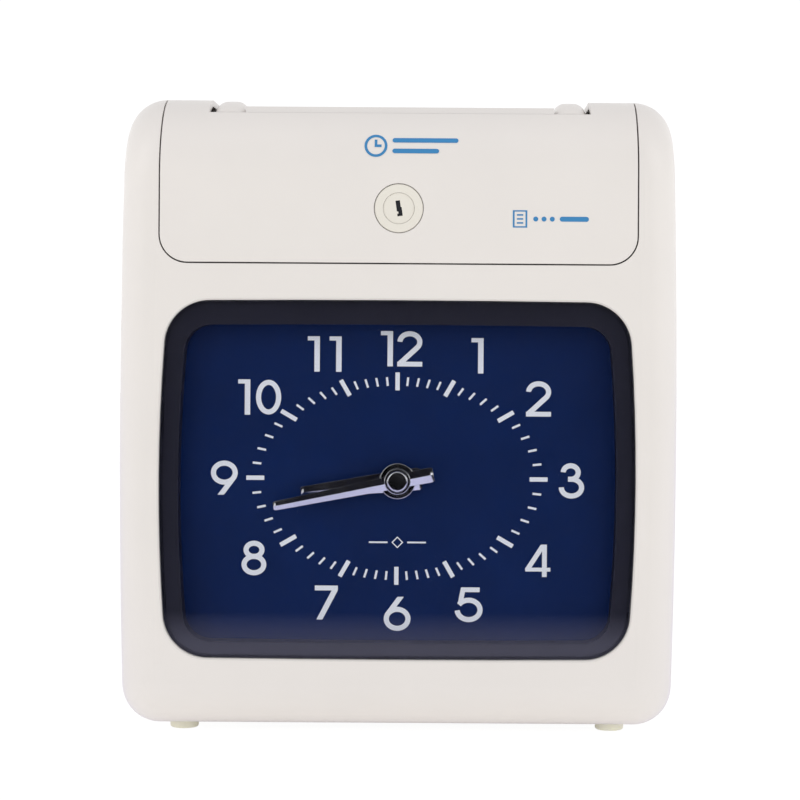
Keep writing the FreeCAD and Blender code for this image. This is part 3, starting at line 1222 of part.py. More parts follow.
def build():
    """Every node's name and the function that makes it."""
    nodes = {
        "front_cover": front_cover, "rear_cover": rear_cover, "case_screws": case_screws,
        "power_inlet": power_inlet, "door": door, "hinge_pins": hinge_pins,
        "lock_housing": lock_housing, "lock_nut": lock_nut, "lock_plug": lock_plug,
        "lock_cam": lock_cam, "cam_screw": cam_screw, "card_inlet": card_inlet,
        "dial_window": dial_window, "dial_bezel": dial_bezel, "dial_plate": dial_plate,
        "movement_front": movement_front, "movement_back": movement_back,
        "movement_nut": movement_nut, "minute_arbor": minute_arbor, "drive_wheel": drive_wheel,
        "hour_wheel": hour_wheel, "minute_wheel": minute_wheel, "clock_motor": clock_motor,
        "clock_pinion": clock_pinion, "hour_hand": hour_hand, "minute_hand": minute_hand,
        "hand_cap": hand_cap, "chassis": chassis, "card_guide_front": card_guide_front,
        "card_guide_rear": card_guide_rear, "platen_bar": platen_bar, "feed_shaft": feed_shaft,
        "feed_rollers": feed_rollers, "feed_gear": feed_gear, "feed_motor": feed_motor,
        "feed_pinion": feed_pinion, "pinch_roller": pinch_roller, "guide_rods": guide_rods,
        "print_carriage": print_carriage, "print_head": print_head, "drive_belt": drive_belt,
        "belt_pulley": belt_pulley, "motor_pulley": motor_pulley,
        "carriage_motor": carriage_motor, "ribbon_cartridge": ribbon_cartridge,
        "ribbon_band": ribbon_band, "ribbon_knob": ribbon_knob, "setting_panel": setting_panel,
        "lcd_display": lcd_display, "main_board": main_board, "transformer": transformer,
        "backup_battery": backup_battery,
    }
    shapes = {name: make() for name, make in nodes.items()}
    for row, y in zip(("front", "rear"), FOOT_Y):
        for side, x in (("left", -FOOT_X), ("right", FOOT_X)):
            shapes["foot_%s_%s" % (row, side)] = foot(x, y)
    for name, (x, z) in BUTTON_PLACES.items():
        shapes[name] = set_button(x, z)
    return shapes


os.makedirs("parts", exist_ok=True)
for node, shape in build().items():
    shape.exportStep("parts/%s.step" % node)
    solids = len(shape.Solids)
    print("%-18s solids %d  valid %s  volume %.1f" % (node, solids, shape.isValid(), shape.Volume))
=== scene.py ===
import math

import bpy
from mathutils import Matrix, Vector


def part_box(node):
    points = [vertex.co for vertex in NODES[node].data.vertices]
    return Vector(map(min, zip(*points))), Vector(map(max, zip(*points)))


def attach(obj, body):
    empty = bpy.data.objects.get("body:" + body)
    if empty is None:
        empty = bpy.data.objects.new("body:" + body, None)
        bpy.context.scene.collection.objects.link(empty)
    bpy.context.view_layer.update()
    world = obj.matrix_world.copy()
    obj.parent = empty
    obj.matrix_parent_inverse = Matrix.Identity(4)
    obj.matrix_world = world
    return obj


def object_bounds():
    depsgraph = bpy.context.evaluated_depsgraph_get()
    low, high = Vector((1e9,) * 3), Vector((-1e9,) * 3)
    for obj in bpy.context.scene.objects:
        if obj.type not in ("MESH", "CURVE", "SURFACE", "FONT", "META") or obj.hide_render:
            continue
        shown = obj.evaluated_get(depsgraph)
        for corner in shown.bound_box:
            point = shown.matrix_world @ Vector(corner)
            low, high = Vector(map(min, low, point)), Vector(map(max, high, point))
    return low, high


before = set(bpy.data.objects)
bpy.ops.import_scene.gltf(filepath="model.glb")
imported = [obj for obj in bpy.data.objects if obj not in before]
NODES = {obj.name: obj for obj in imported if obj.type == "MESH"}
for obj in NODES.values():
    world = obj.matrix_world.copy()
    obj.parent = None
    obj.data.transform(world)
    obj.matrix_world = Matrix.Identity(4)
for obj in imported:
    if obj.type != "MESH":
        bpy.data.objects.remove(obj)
CAD_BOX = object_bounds()

# Looks of a punch time clock. Metres, +X right, the front faces -Y, +Z up.

MM = 0.001
FRONT = CAD_BOX[0].y
TOP = CAD_BOX[1].z

# ---- places taken from the frame ----------------------------------------------------------------

DIAL_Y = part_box("dial_plate")[0].y
PRINT_MIDDLE_Z = 93.2 * MM      # the numerals are laid out around this height
LCD_LOW, LCD_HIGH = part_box("lcd_display")
DOOR_CURVE_R = 30 * MM          # the door turns from the front into the top with this radius
PANEL_MIDDLE_V = 205.0          # millimetres over the table, the middle of the display's digits

# ---- printed colours ----------------------------------------------------------------------------

WHITE_INK = (0.87, 0.88, 0.96)
BLUE_INK = (0.035, 0.235, 0.52)
# The dark ink prints the display's segments and also paints the shade inside the keyway.
DARK_INK_AND_SHADE = (0.02, 0.022, 0.03)

# ---- how far a print stands off what it is printed on, in millimetres ---------------------------

DIAL_LIFT = 0.04
DOOR_LIFT = 0.07
PANEL_LIFT = 0.02
LAYER_STEP = 0.0015             # between shapes of one print, so that none coincide where they overlap
LAYERS = 41


# ---- node helpers -------------------------------------------------------------------------------

def add(tree, kind, inputs=None, **settings):
    """A new shader node with its settings; each input is a value or another node's socket."""
    node = tree.nodes.new(kind)
    for key, value in settings.items():
        setattr(node, key, value)
    for key, value in (inputs or {}).items():
        if isinstance(value, bpy.types.NodeSocket):
            tree.links.new(value, node.inputs[key])
        else:
            node.inputs[key].default_value = value
    return node


def start_material(name):
    """A material with an empty tree, its output and its object coordinates."""
    material = bpy.data.materials.new(name)
    material.use_nodes = True
    tree = material.node_tree
    tree.nodes.clear()
    output = add(tree, "ShaderNodeOutputMaterial")
    place = add(tree, "ShaderNodeTexCoord").outputs["Object"]
    return material, tree, output, place


def rgba(colour):
    return (*colour, 1.0)


def spread(tree, value, low, high, source=(0.3, 0.7)):
    """A noise value stretched from source to the range low to high."""
    node = add(tree, "ShaderNodeMapRange", {
        "Value": value, "From Min": source[0], "From Max": source[1], "To Min": low, "To Max": high})
    return node.outputs["Result"]


def noise(tree, place, scale, detail=2.0):
    return add(tree, "ShaderNodeTexNoise", {"Vector": place, "Scale": scale, "Detail": detail}).outputs["Fac"]


def set_colour_mix(tree, factor, a, b):
    """Mix of two colours, each a tuple or a socket."""
    node = tree.nodes.new("ShaderNodeMix")
    node.data_type = "RGBA"
    for socket, value in ((node.inputs[0], factor), (node.inputs[6], a), (node.inputs[7], b)):
        if isinstance(value, bpy.types.NodeSocket):
            tree.links.new(value, socket)
        else:
            socket.default_value = value
    return node.outputs[2]


def edge_mask(tree, normal, width):
    """0 on open faces, rising to 1 along the edges that the rounded normal smooths over."""
    flat = add(tree, "ShaderNodeNewGeometry").outputs["Normal"]
    dot = add(tree, "ShaderNodeVectorMath", operation="DOT_PRODUCT")
    tree.links.new(normal, dot.inputs[0])
    tree.links.new(flat, dot.inputs[1])
    return spread(tree, dot.outputs["Value"], 1.0, 0.0, (1.0 - width, 1.0))


def surface(name, colour, roughness, metallic=0.0, grain=(1500, 0.1), tint=0.03, rough_spread=0.05,
            edge=0.3, wear_and_highlight=0.25, wear_and_highlight_colour=None, pattern=None, **principled):
    """Moulded, cast or turned material: tint and gloss vary, a fine grain, softened edges that are lightened
    partly by wear and partly as a painted edge highlight.
    """
    material, tree, output, place = start_material(name)
    slow = noise(tree, place, 38, 3)
    darker = rgba([c * (1 - tint) for c in colour])
    lighter = rgba([min(1.0, c * (1 + tint)) for c in colour])
    base = set_colour_mix(tree, spread(tree, slow, 0, 1), darker, lighter)
    height = noise(tree, place, grain[0], 2)
    if pattern:
        base, height = pattern(tree, place, base, height)
    if edge:
        rounded = add(tree, "ShaderNodeBevel", {"Radius": edge * MM}, samples=4).outputs["Normal"]
    else:
        rounded = add(tree, "ShaderNodeNewGeometry").outputs["Normal"]
    # Painted highlight: the edges are mixed towards a lighter colour, partly wear and partly a painted edge
    # highlight.
    rub_and_edge_highlight = add(tree, "ShaderNodeMath", {0: edge_mask(tree, rounded, 0.25),
                                      1: spread(tree, noise(tree, place, 260, 3), 0, wear_and_highlight)},
              operation="MULTIPLY").outputs[0]
    wear_and_highlight_tone = wear_and_highlight_colour or [min(1.0, c * 1.25 + 0.02) for c in colour]
    base = set_colour_mix(tree, rub_and_edge_highlight, base, rgba(wear_and_highlight_tone))
    rough = spread(tree, noise(tree, place, 140, 3), roughness - rough_spread, roughness + rough_spread)
    bump = add(tree, "ShaderNodeBump", {"Strength": grain[1], "Distance": 0.05 * MM, "Height": height,
                                        "Normal": rounded}).outputs["Normal"]
    shader = add(tree, "ShaderNodeBsdfPrincipled", {
        "Base Color": base, "Roughness": rough, "Metallic": metallic, "Normal": bump, **principled})
    tree.links.new(shader.outputs[0], output.inputs["Surface"])
    return material


# ---- patterns for single materials --------------------------------------------------------------

def laminations(tree, place, base, height):
    """Thin dark lines between the stacked sheets of the transformer's core."""
    bands = add(tree, "ShaderNodeTexWave", {"Vector": place, "Scale": 320.0, "Distortion": 0.0},
                bands_direction="Y").outputs["Fac"]
    dark = spread(tree, bands, 0.75, 0, (0.0, 0.35))
    return set_colour_mix(tree, dark, base, rgba((0.015, 0.014, 0.013))), bands


def weave(tree, place, base, height):
    """Plain weave of the inked ribbon."""
    across = add(tree, "ShaderNodeTexWave", {"Vector": place, "Scale": 900.0}, bands_direction="X")
    along = add(tree, "ShaderNodeTexWave", {"Vector": place, "Scale": 900.0}, bands_direction="Z")
    threads = add(tree, "ShaderNodeMath", {0: across.outputs["Fac"], 1: along.outputs["Fac"]},
                  operation="MULTIPLY").outputs[0]
    return set_colour_mix(tree, threads, base, rgba((0.09, 0.05, 0.16))), threads


def circuit(tree, place, base, height):
    """Copper tracks under green lacquer, and rows of solder points."""
    cells = add(tree, "ShaderNodeTexVoronoi", {"Vector": place, "Scale": 190.0}, distance="MANHATTAN",
                feature="F1").outputs["Distance"]
    lines = spread(tree, cells, 1, 0, (0.42, 0.46))
    spots = add(tree, "ShaderNodeTexVoronoi", {"Vector": place, "Scale": 300.0}, feature="F1")
    solder = spread(tree, spots.outputs["Distance"], 1, 0, (0.12, 0.16))
    tracked = set_colour_mix(tree, lines, base, rgba((0.02, 0.16, 0.06)))
    return set_colour_mix(tree, solder, tracked, rgba((0.55, 0.55, 0.52))), cells


def brushed(tree, place, base, height):
    """Fine lines left by rolling or grinding."""
    stretched = add(tree, "ShaderNodeMapping", {"Vector": place, "Scale": (1.0, 1.0, 30.0)}).outputs[0]
    return base, noise(tree, stretched, 400, 2)


def glass(name, colour, roughness):
    """Clear acrylic that lets the lamps through to the dial, with faint haze and a wavy skin."""
    material, tree, output, place = start_material(name)
    rough = spread(tree, noise(tree, place, 60, 3), roughness * 0.6, roughness * 1.5)
    bump = add(tree, "ShaderNodeBump", {"Strength": 0.03, "Distance": 0.05 * MM,
                                        "Height": noise(tree, place, 25, 1)}).outputs["Normal"]
    tint = set_colour_mix(tree, spread(tree, noise(tree, place, 30, 2), 0, 1), rgba(colour),
                          rgba([c * 0.985 for c in colour]))
    shader = add(tree, "ShaderNodeBsdfPrincipled", {
        "Base Color": tint, "Roughness": rough, "IOR": 1.45, "Transmission Weight": 1.0, "Normal": bump})
    path = add(tree, "ShaderNodeLightPath")
    passing = add(tree, "ShaderNodeMath", {0: path.outputs["Is Shadow Ray"],
                                          1: path.outputs["Is Diffuse Ray"]},
                  operation="MAXIMUM").outputs[0]
    clear = add(tree, "ShaderNodeBsdfTransparent", {"Color": rgba([c * 0.94 for c in colour])})
    mix = add(tree, "ShaderNodeMixShader", {0: passing, 1: shader.outputs[0], 2: clear.outputs[0]})
    tree.links.new(mix.outputs[0], output.inputs["Surface"])
    return material


def make_materials():
    """One finish for each material slot of the record, and one for each ink."""
    steel = (0.56, 0.57, 0.59)
    return {
        "case_plastic": surface("case_plastic", (0.80, 0.762, 0.740), 0.33, grain=(1400, 0.10), tint=0.008,
                                edge=0.35, wear_and_highlight=0.35, wear_and_highlight_colour=(0.86, 0.83, 0.79)),
        "lock_face": surface("lock_face", (0.80, 0.765, 0.70), 0.30, grain=(1700, 0.08), tint=0.01,
                             wear_and_highlight=0.4, wear_and_highlight_colour=(0.86, 0.84, 0.80)),
        "clear_plastic": glass("clear_plastic", (0.96, 0.97, 0.98), 0.02),
        "bezel_plastic": surface("bezel_plastic", (0.0205, 0.0200, 0.036), 0.38, grain=(1100, 0.25),
                                 wear_and_highlight=0.5, wear_and_highlight_colour=(0.10, 0.105, 0.13), **{"Specular IOR Level": 0.2}),
        "dial_print": surface("dial_print", (0.0016, 0.0160, 0.095), 0.42, grain=(2200, 0.08), tint=0.08,
                              edge=0.1, wear_and_highlight=0.1, **{"Specular IOR Level": 0.15}),
        "chrome_hand": surface("chrome_hand", (0.86, 0.86, 0.88), 0.10, metallic=1.0, grain=(900, 0.02),
                               rough_spread=0.04, edge=0.12, wear_and_highlight=0.2, wear_and_highlight_colour=(0.95, 0.95, 0.96)),
        "steel": surface("steel", steel, 0.34, metallic=1.0, grain=(500, 0.06), rough_spread=0.08,
                         wear_and_highlight_colour=(0.75, 0.76, 0.78), pattern=brushed),
        "brass": surface("brass", (0.72, 0.52, 0.22), 0.27, metallic=1.0, grain=(800, 0.05),
                         edge=0.08, wear_and_highlight_colour=(0.90, 0.75, 0.45)),
        "white_acetal": surface("white_acetal", (0.78, 0.78, 0.75), 0.36, edge=0.1),
        "dark_plastic": surface("dark_plastic", (0.022, 0.023, 0.026), 0.45, grain=(900, 0.3),
                                wear_and_highlight_colour=(0.12, 0.12, 0.13)),
        "foot_rubber": surface("foot_rubber", (0.93, 0.91, 0.78), 0.42, grain=(1000, 0.2), edge=0.3,
                               **{"Subsurface Weight": 0.4, "Subsurface Radius": (0.004, 0.004, 0.003),
                                  "Subsurface Scale": 0.5}),
        "roller_rubber": surface("roller_rubber", (0.025, 0.025, 0.027), 0.75, grain=(1600, 0.5),
                                 wear_and_highlight_colour=(0.12, 0.12, 0.12)),
        "ribbon_fabric": surface("ribbon_fabric", (0.012, 0.008, 0.022), 0.85, grain=(900, 0.6), edge=0.05,
                                 pattern=weave),
        "circuit_board": surface("circuit_board", (0.012, 0.085, 0.035), 0.35, grain=(500, 0.25), edge=0.1,
                                 wear_and_highlight_colour=(0.35, 0.33, 0.2), pattern=circuit),
        "display_glass": surface("display_glass", (0.20, 0.25, 0.17), 0.12, grain=(600, 0.03), edge=0.1),
        "button_plastic": surface("button_plastic", (0.16, 0.22, 0.30), 0.42, grain=(1200, 0.2)),
        "iron_core": surface("iron_core", (0.10, 0.095, 0.09), 0.50, metallic=0.7, grain=(500, 0.5),
                             wear_and_highlight_colour=(0.32, 0.22, 0.15), pattern=laminations),
        "battery_sleeve": surface("battery_sleeve", (0.30, 0.42, 0.10), 0.25, grain=(300, 0.1)),
        "white_ink": surface("white_ink", WHITE_INK, 0.5, grain=(2500, 0.1), edge=0),
        "blue_ink": surface("blue_ink", BLUE_INK, 0.42, grain=(2500, 0.1), edge=0),
        "dark_ink_and_shade": surface("dark_ink_and_shade", DARK_INK_AND_SHADE, 0.5, grain=(2500, 0.1), edge=0),
    }


MATERIALS = make_materials()


def dress_frame():
    """Gives each carried-over CAD node the finish of its material slot."""
    for node in NODES.values():
        for k, packed in enumerate(list(node.data.materials)):
            slot = node.material_slots[k]
            slot.link = "OBJECT"
            slot.material = MATERIALS[packed.name.split(".")[0]]


# ---- flat printing ------------------------------------------------------------------------------
# Marks are drawn in millimetres as strokes: u to the right and v up, each stroke a row of quads.

def stroke(points, width, closed=False):
    """Quads of a line of the given width through the points."""
    count = len(points)
    left, right = [], []
    for k in range(count):
        before = points[k - 1] if closed or k else points[0]
        after = points[(k + 1) % count] if closed or k < count - 1 else points[-1]
        du, dv = after[0] - before[0], after[1] - before[1]
        length = math.hypot(du, dv)
        nu, nv = -dv / length * width / 2, du / length * width / 2
        left.append((points[k][0] + nu, points[k][1] + nv))
        right.append((points[k][0] - nu, points[k][1] - nv))
    spans = range(count if closed else count - 1)
    return [(left[k], right[k], right[(k + 1) % count], left[(k + 1) % count]) for k in spans]


def arc_points(cu, cv, ru, rv, first, last, steps=32):
    """Points of an arc of an ellipse between two angles in degrees."""
    angles = [math.radians(first + (last - first) * k / steps) for k in range(steps + 1)]
    return [(cu + ru * math.cos(a), cv + rv * math.sin(a)) for a in angles]


def ring(cu, cv, ru, rv, width):
    return stroke(arc_points(cu, cv, ru, rv, 0, 360)[:-1], width, closed=True)


def slanted(top, bottom, width):
    """A straight stroke whose two ends are cut level."""
    du, dv = top[0] - bottom[0], top[1] - bottom[1]
    half = width / 2 * math.hypot(du, dv) / abs(dv)
    return [((top[0] - half, top[1]), (bottom[0] - half, bottom[1]), (bottom[0] + half, bottom[1]),
             (top[0] + half, top[1]))]


def bar(u0, u1, v0, v1):
    return [((u0, v1), (u0, v0), (u1, v0), (u1, v1))]


def run_out(curve, foot, width):
    """A curved stroke that runs on in a straight line to a foot cut level."""
    near, far = [tuple(a + (b - a) * part for a, b in zip(curve[-1], foot)) for part in (0.25, 0.6)]
    return stroke(curve + [far], width) + slanted(near, foot, width)


def pill(u0, u1, v, width):
    """A bar with round ends."""
    r = width / 2
    edge = arc_points(u1 - r, v, r, r, -90, 90, 10) + arc_points(u0 + r, v, r, r, 90, 270, 10)
    return [tuple(reversed(edge))]


def shifted(shapes, du, dv):
    return [tuple((u + du, v + dv) for u, v in shape) for shape in shapes]


def turned_over(shapes):
    return [tuple((-u, -v) for u, v in shape) for shape in shapes]


def printed(name, shapes, place, ink, body):
    """A print from flat shapes; place turns (u, v) in millimetres into a point in metres.

    Shapes that overlap lie in layers a few micrometres apart.
    """
    vertices, faces = [], []
    for k, shape in enumerate(shapes):
        start = len(vertices)
        layer = Vector((0, -LAYER_STEP * MM * (k % LAYERS), 0))
        vertices += [Vector(place(u, v)) + layer for u, v in shape]
        faces.append(tuple(range(start, start + len(shape))))
    mesh = bpy.data.meshes.new(name)
    mesh.from_pydata(vertices, [], faces)
    mesh.materials.append(MATERIALS[ink])
    piece = bpy.data.objects.new(name, mesh)
    bpy.context.scene.collection.objects.link(piece)
    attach(piece, body)
    return piece


# ---- numerals of the dial -----------------------------------------------------------------------

PEN = 1.88                 # width of the numerals' strokes


def zero():
    return ring(0, 0, 3.7, 5.45, PEN)


def one():
    return bar(0.25, 2.25, -6.5, 6.5) + bar(-2.2, 0.25, 4.95, 6.5)


def two():
    top = arc_points(0, 2.5, 3.66, 3.05, 178, -42)
    return run_out(top, (-3.2, -5.0), PEN) + bar(-4.6, 4.6, -6.5, -4.75)


def three():
    upper = arc_points(-0.3, 3.2, 2.75, 2.48, 178, -90)
    lower = arc_points(0, -2.35, 3.73, 3.1, 90, -181)
    return stroke(upper, PEN) + stroke(lower, PEN) + bar(-1.3, -0.2, -0.19, 1.67)


def four():
    return bar(1.45, 3.2, -5.6, 6.3) + slanted((2.0, 6.3), (-3.85, -2.8), 1.75) + bar(-4.7, 4.55, -3.6, -2.2)


def five():
    bowl = arc_points(-0.13, -1.78, 4.2, 3.57, 148, -177)
    return bar(-2.9, 3.87, 4.75, 6.5) + slanted((-2.1, 6.4), (-3.3, 0.35), 1.75) + stroke(bowl, PEN)


def seven():
    return bar(-4.05, 4.4, 4.45, 6.25) + slanted((3.3, 4.5), (-2.3, -6.25), 1.98)


def eight():
    return ring(0, 3.0, 2.93, 2.43, PEN) + ring(0, -2.4, 3.63, 3.02, PEN)


def nine():
    bowl = arc_points(0, 1.83, 4.0, 3.5, -33, 327)
    return stroke(bowl[:-1], PEN, closed=True) + slanted(bowl[0], (-1.25, -6.27), PEN)


def side_by_side(left, right, pitch):
    return shifted(left, -pitch / 2, 0) + shifted(right, pitch / 2, 0)


def numerals():
    """Each numeral's shapes, with its centre measured from the middle of the dial."""
    return [
        (side_by_side(one(), two(), 8.45), (-0.1, 47.9)), (one(), (29.0, 45.5)), (two(), (51.6, 29.8)),
        (three(), (63.9, -0.4)), (four(), (51.8, -30.1)), (five(), (26.5, -46.2)),
        (turned_over(nine()), (0.1, -49.6)), (seven(), (-26.2, -45.6)), (eight(), (-52.7, -29.4)),
        (nine(), (-63.8, 0.1)), (side_by_side(one(), zero(), 9.0), (-52.2, 29.8)),
        (side_by_side(one(), one(), 8.0), (-27.2, 45.8)),
    ]


def minute_track():
    """Sixty ticks that point at the middle, centred on an ellipse; every fifth one is long and broad."""
    half_w, half_h = 52.1, 35.75
    shapes = []
    for k in range(60):
        angle = math.radians(6 * k)
        middle = half_w * half_h / math.hypot(half_h * math.cos(angle), half_w * math.sin(angle))
        length, width = (6.6, 1.6) if k % 5 == 0 else (3.2, 0.8)
        ends = [(r * math.cos(angle), r * math.sin(angle))
                for r in (middle - length / 2, middle + length / 2)]
        shapes += stroke(ends, width)
    return shapes


def dial_mark():
    """Small ornament under the hands: a lozenge between two lines."""
    size = 1.9
    lozenge = [(0, size), (-size, 0), (0, -size), (size, 0)]
    return stroke(lozenge, 0.55, closed=True) + bar(-10.5, -3.6, -0.3, 0.3) + bar(3.6, 10.5, -0.3, 0.3)


def print_dial():
    shapes = shifted(minute_track(), -0.3, 0.15) + shifted(dial_mark(), 0, -23.3)
    for numeral, (u, v) in numerals():
        shapes += shifted(numeral, u, v)

    def on_dial(u, v):
        return (u * MM, DIAL_Y - DIAL_LIFT * MM, PRINT_MIDDLE_Z + v * MM)
    printed("dial_figures", shapes, on_dial, "white_ink", "root")


# ---- generic marks on the door ------------------------------------------------------------------

def clock_icon(r, pen):
    half = pen / 2
    return ring(0, 0, r, r, pen) + bar(-half, half, -half, r * 0.62) + bar(0, r * 0.55, -half, half)


def card_icon(half_w, half_h, pen):
    frame_points = [(-half_w, half_h), (-half_w, -half_h), (half_w, -half_h), (half_w, half_h)]
    shapes = stroke(frame_points, pen, closed=True)
    for k in range(3):
        shapes += bar(-half_w * 0.5, half_w * 0.5, half_h * (0.5 - 0.5 * k) - pen * 0.35,
                      half_h * (0.5 - 0.5 * k) + pen * 0.35)
    return shapes


def on_door(u, v):
    """A point just above the outside of the door; v is the height in millimetres over the table."""
    lift = DOOR_LIFT * MM
    over = v * MM - (TOP - DOOR_CURVE_R)
    radius = DOOR_CURVE_R + lift
    back = radius - math.sqrt(radius ** 2 - over ** 2) if over > 0 else 0.0
    return (u * MM, FRONT - lift + back, v * MM)


def print_door():
    upper = shifted(clock_icon(3.7, 0.95), -8.5, 0) + pill(-2.5, 21.5, 2.1, 1.7) + pill(-2.5, 14.5, -1.9, 1.7)
    printed("door_mark_upper", shifted(upper, 0, 215.0), on_door, "blue_ink", "door")
    lower = shifted(card_icon(2.3, 2.9, 0.8), -11.0, 0)
    for k in range(3):
        lower += pill(-6.2 + 3.0 * k, -4.4 + 3.0 * k, 0, 1.8)
    lower += pill(3.4, 14.0, 0, 1.8)
    printed("door_mark_lower", shifted(lower, 55.0, 188.6), on_door, "blue_ink", "door")


# ---- keyway -------------------------------------------------------------------------------------

KEYWAY_LEAN = math.radians(8.0)  # the top of the keyway leans to the left
SHADE_SUNK = 0.5               # millimetres behind the face of the plug


def fit_keyway_painted_shade():
    """Painted shade: a dark sheet a little way inside the keyway, with the keyway's own step and ward,
    standing in for the shade deep in the keyway.
    """
    steps = ((-0.85, 0.75, 0.3, 2.85), (-0.85, 1.05, -1.1, 0.3), (-0.35, 1.05, -1.9, -1.1),
             (-0.85, 1.05, -2.85, -1.9))
    low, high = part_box("lock_plug")
    middle = (low + high) / 2
    cos, sin = math.cos(KEYWAY_LEAN), math.sin(KEYWAY_LEAN)
    shapes = []
    for step in steps:
        shapes += bar(*step)

    def in_keyway(u, v):
        across = u * cos - v * sin
        up = v * cos + u * sin
        return (middle.x + across * MM, low.y + SHADE_SUNK * MM, middle.z + up * MM)
    # Painted shade: this dark sheet stands where the keyway is only in shade.
    printed("keyway_painted_shade", shapes, in_keyway, "dark_ink_and_shade", "lock")


# ---- setting panel ------------------------------------------------------------------------------

def print_panel():
    """Segments of the small display and a symbol on each setting button."""
    middle_u = (LCD_LOW.x + LCD_HIGH.x) / 2 / MM - 0.5
    shapes = []
    for du in (-6.6, -2.6, 2.6, 6.6):
        digit = stroke([(-1.2, 2.4), (-1.2, -2.4), (1.2, -2.4), (1.2, 2.4)], 0.55, closed=True)
        shapes += shifted(digit, du, 0)
    shapes += bar(-0.3, 0.3, 0.8, 1.4) + bar(-0.3, 0.3, -1.4, -0.8)

    def on_display(u, v):
        return ((middle_u + u) * MM, LCD_LOW.y - PANEL_LIFT * MM, (PANEL_MIDDLE_V + v) * MM)
    printed("display_segments", shapes, on_display, "dark_ink_and_shade", "root")
    arrow = [((0, 1.1), (-1.1, -0.8), (1.1, -0.8))]
    symbols = {"mode": ring(0, 0, 0.9, 0.9, 0.4), "enter": bar(-1.0, 1.0, -0.25, 0.25), "up": arrow,
               "down": turned_over(arrow)}
    for button, symbol in symbols.items():
        low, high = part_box("set_button_" + button)
        centre = (low + high) / 2

        def on_button(u, v):
            return (centre.x + u * MM, low.y - PANEL_LIFT * MM, centre.z + v * MM)
        printed("symbol_" + button, symbol, on_button, "white_ink", "button_" + button)


# ---- floor, light and camera --------------------------------------------------------------------

WHITE = (1.0, 1.0, 1.0, 1.0)
TABLE_HALF = 4.0
TABLE_SEEN = 0.95                            # glow of the table where the camera sees it directly
TABLE_LIFT = 0.34                            # glow with which it lights the object from below
SHADED = (0.4, 0.85)                         # that glow starts and is full here, 1 being the outline
MIRROR_FADE = (FRONT - 0.365, FRONT - 0.235)  # farther in front than this the mirrored table is dark
WORLD_STRENGTH = 1.09
ZENITH = 0.64                                # the sky's strength overhead, beside that at the horizon
WORLD_SEEN = 1.05
CAMERA_DISTANCE = 0.850                      # in front of the object's front face
CAMERA_X = 18 * MM
CAMERA_Z = 150 * MM
FRAME_WIDTH = 290.2 * MM                     # what the picture spans at the front face
FRAME_MIDDLE_X = 0.7 * MM
FRAME_MIDDLE_Z = 122.75 * MM
ROLL = math.radians(0.37)
SENSOR = 36.0


def make_floor():
    """Plain pale table, overexposed; mirrored in the glass it fades out some way in front.

    It lights the object from below, but not from right underneath.
    """
    half = TABLE_HALF
    mesh = bpy.data.meshes.new("floor")
    mesh.from_pydata([(-half, -half, 0), (half, -half, 0), (half, half, 0), (-half, half, 0)], [],
                     [(0, 1, 2, 3)])
    floor = bpy.data.objects.new("floor", mesh)
    bpy.context.scene.collection.objects.link(floor)
    material, tree, output, place = start_material("floor")
    base = set_colour_mix(tree, spread(tree, noise(tree, place, 3, 2), 0, 1), rgba((0.78, 0.78, 0.78)),
                          rgba((0.82, 0.82, 0.82)))
    bump = add(tree, "ShaderNodeBump", {"Strength": 0.05, "Distance": 0.1 * MM,
                                        "Height": noise(tree, place, 900, 2)}).outputs["Normal"]
    path = add(tree, "ShaderNodeLightPath")
    mirror = path.outputs["Is Glossy Ray"]
    cool = set_colour_mix(tree, mirror, base, rgba((0.64, 0.63, 0.88)))
    paper = add(tree, "ShaderNodeBsdfDiffuse", {"Color": cool, "Normal": bump})
    glow = add(tree, "ShaderNodeEmission", {"Color": WHITE, "Strength": TABLE_SEEN})
    faint = add(tree, "ShaderNodeBsdfDiffuse", {"Color": rgba((0.12, 0.12, 0.12)), "Normal": bump})
    overexposed = add(tree, "ShaderNodeAddShader", {0: glow.outputs[0], 1: faint.outputs[0]})
    dark = add(tree, "ShaderNodeEmission", {"Color": rgba((0.0, 0.0, 0.0)), "Strength": 0.0})
    parts = add(tree, "ShaderNodeSeparateXYZ", {0: place}).outputs
    far = spread(tree, parts["Y"], 1.0, 0.0, MIRROR_FADE)
    hidden = add(tree, "ShaderNodeMath", {0: far, 1: mirror}, operation="MULTIPLY").outputs[0]
    tinted_white = set_colour_mix(tree, mirror, rgba((1.0, 0.98, 0.86)), rgba((0.49, 0.48, 0.61)))
    across = add(tree, "ShaderNodeMath", {0: parts["X"], 1: CAD_BOX[1][0]}, operation="DIVIDE").outputs[0]
    along = add(tree, "ShaderNodeMath", {0: parts["Y"], 1: FRONT}, operation="DIVIDE").outputs[0]
    ahead, aside = [add(tree, "ShaderNodeMath", {0: value}, operation="ABSOLUTE").outputs[0]
                    for value in (along, across)]
    out = add(tree, "ShaderNodeMath", {0: ahead, 1: aside}, operation="MAXIMUM").outputs[0]
    lift = add(tree, "ShaderNodeEmission", {"Color": tinted_white,
                                            "Strength": spread(tree, out, 0.0, TABLE_LIFT, SHADED)})
    bounced = add(tree, "ShaderNodeAddShader", {0: paper.outputs[0], 1: lift.outputs[0]})
    mirrored = add(tree, "ShaderNodeMixShader", {0: hidden, 1: bounced.outputs[0], 2: dark.outputs[0]})
    mix = add(tree, "ShaderNodeMixShader", {0: path.outputs["Is Camera Ray"], 1: mirrored.outputs[0],
                                            2: overexposed.outputs[0]})
    tree.links.new(mix.outputs[0], output.inputs["Surface"])
    mesh.materials.append(material)


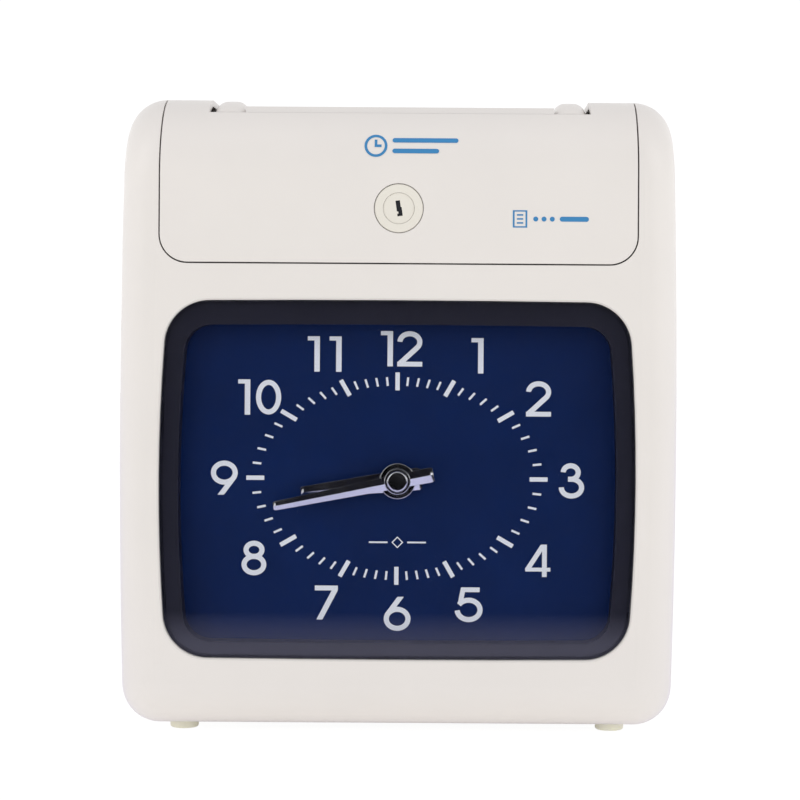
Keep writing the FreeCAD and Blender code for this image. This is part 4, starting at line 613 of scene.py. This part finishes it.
def make_world():
    """White studio; mirrored straight ahead it is dark, as the unlit room behind the camera is."""
    world = bpy.data.worlds.new("studio")
    bpy.context.scene.world = world
    world.use_nodes = True
    tree = world.node_tree
    tree.nodes.clear()
    output = add(tree, "ShaderNodeOutputWorld")
    direction = add(tree, "ShaderNodeTexCoord").outputs["Generated"]
    parts = add(tree, "ShaderNodeSeparateXYZ", {0: direction}).outputs
    facing = spread(tree, parts["Y"], 1.0, 0.0, (-0.80, -0.45))
    strength = spread(tree, parts["Z"], WORLD_STRENGTH, ZENITH * WORLD_STRENGTH, (0.1, 0.9))
    path = add(tree, "ShaderNodeLightPath")
    hidden = add(tree, "ShaderNodeMath", {0: facing, 1: path.outputs["Is Glossy Ray"]},
                 operation="MULTIPLY").outputs[0]
    lit = add(tree, "ShaderNodeBackground", {"Color": WHITE, "Strength": strength})
    dark = add(tree, "ShaderNodeBackground", {"Color": rgba((0.006, 0.005, 0.006)), "Strength": 1.0})
    white = add(tree, "ShaderNodeBackground", {"Color": WHITE, "Strength": WORLD_SEEN})
    seen = add(tree, "ShaderNodeMixShader", {0: hidden, 1: lit.outputs[0], 2: dark.outputs[0]})
    mix = add(tree, "ShaderNodeMixShader", {0: path.outputs["Is Camera Ray"], 1: seen.outputs[0],
                                            2: white.outputs[0]})
    tree.links.new(mix.outputs[0], output.inputs["Surface"])


def area_light(name, place, target, size, power):
    data = bpy.data.lights.new(name, "AREA")
    data.shape = "RECTANGLE"
    data.size, data.size_y = size
    data.energy = power
    lamp = bpy.data.objects.new(name, data)
    bpy.context.scene.collection.objects.link(lamp)
    lamp.location = place
    lamp.rotation_euler = (Vector(target) - Vector(place)).to_track_quat("-Z", "Y").to_euler()


def make_lights():
    middle = (0.0, 0.0, 0.11)
    area_light("softbox_left", (-1.1, -0.75, 0.85), middle, (0.9, 0.9), 1.75)
    area_light("softbox_right", (1.15, -0.7, 0.8), middle, (0.9, 0.9), 1.6)


def make_camera():
    data = bpy.data.cameras.new("camera")
    data.sensor_width = SENSOR
    data.lens = SENSOR * CAMERA_DISTANCE / FRAME_WIDTH
    data.shift_x = (FRAME_MIDDLE_X - CAMERA_X) / FRAME_WIDTH
    data.shift_y = (FRAME_MIDDLE_Z - CAMERA_Z) / FRAME_WIDTH
    data.clip_start = 0.01
    camera = bpy.data.objects.new("camera", data)
    bpy.context.scene.collection.objects.link(camera)
    place = Matrix.Translation((CAMERA_X, FRONT - CAMERA_DISTANCE, CAMERA_Z))
    camera.matrix_world = place @ Matrix.Rotation(math.pi / 2, 4, "X") @ Matrix.Rotation(ROLL, 4, "Z")
    bpy.context.scene.camera = camera


dress_frame()
print_dial()
print_door()
fit_keyway_painted_shade()
print_panel()
make_floor()
make_world()
make_lights()
make_camera()
bpy.context.scene.view_settings.view_transform = "Standard"
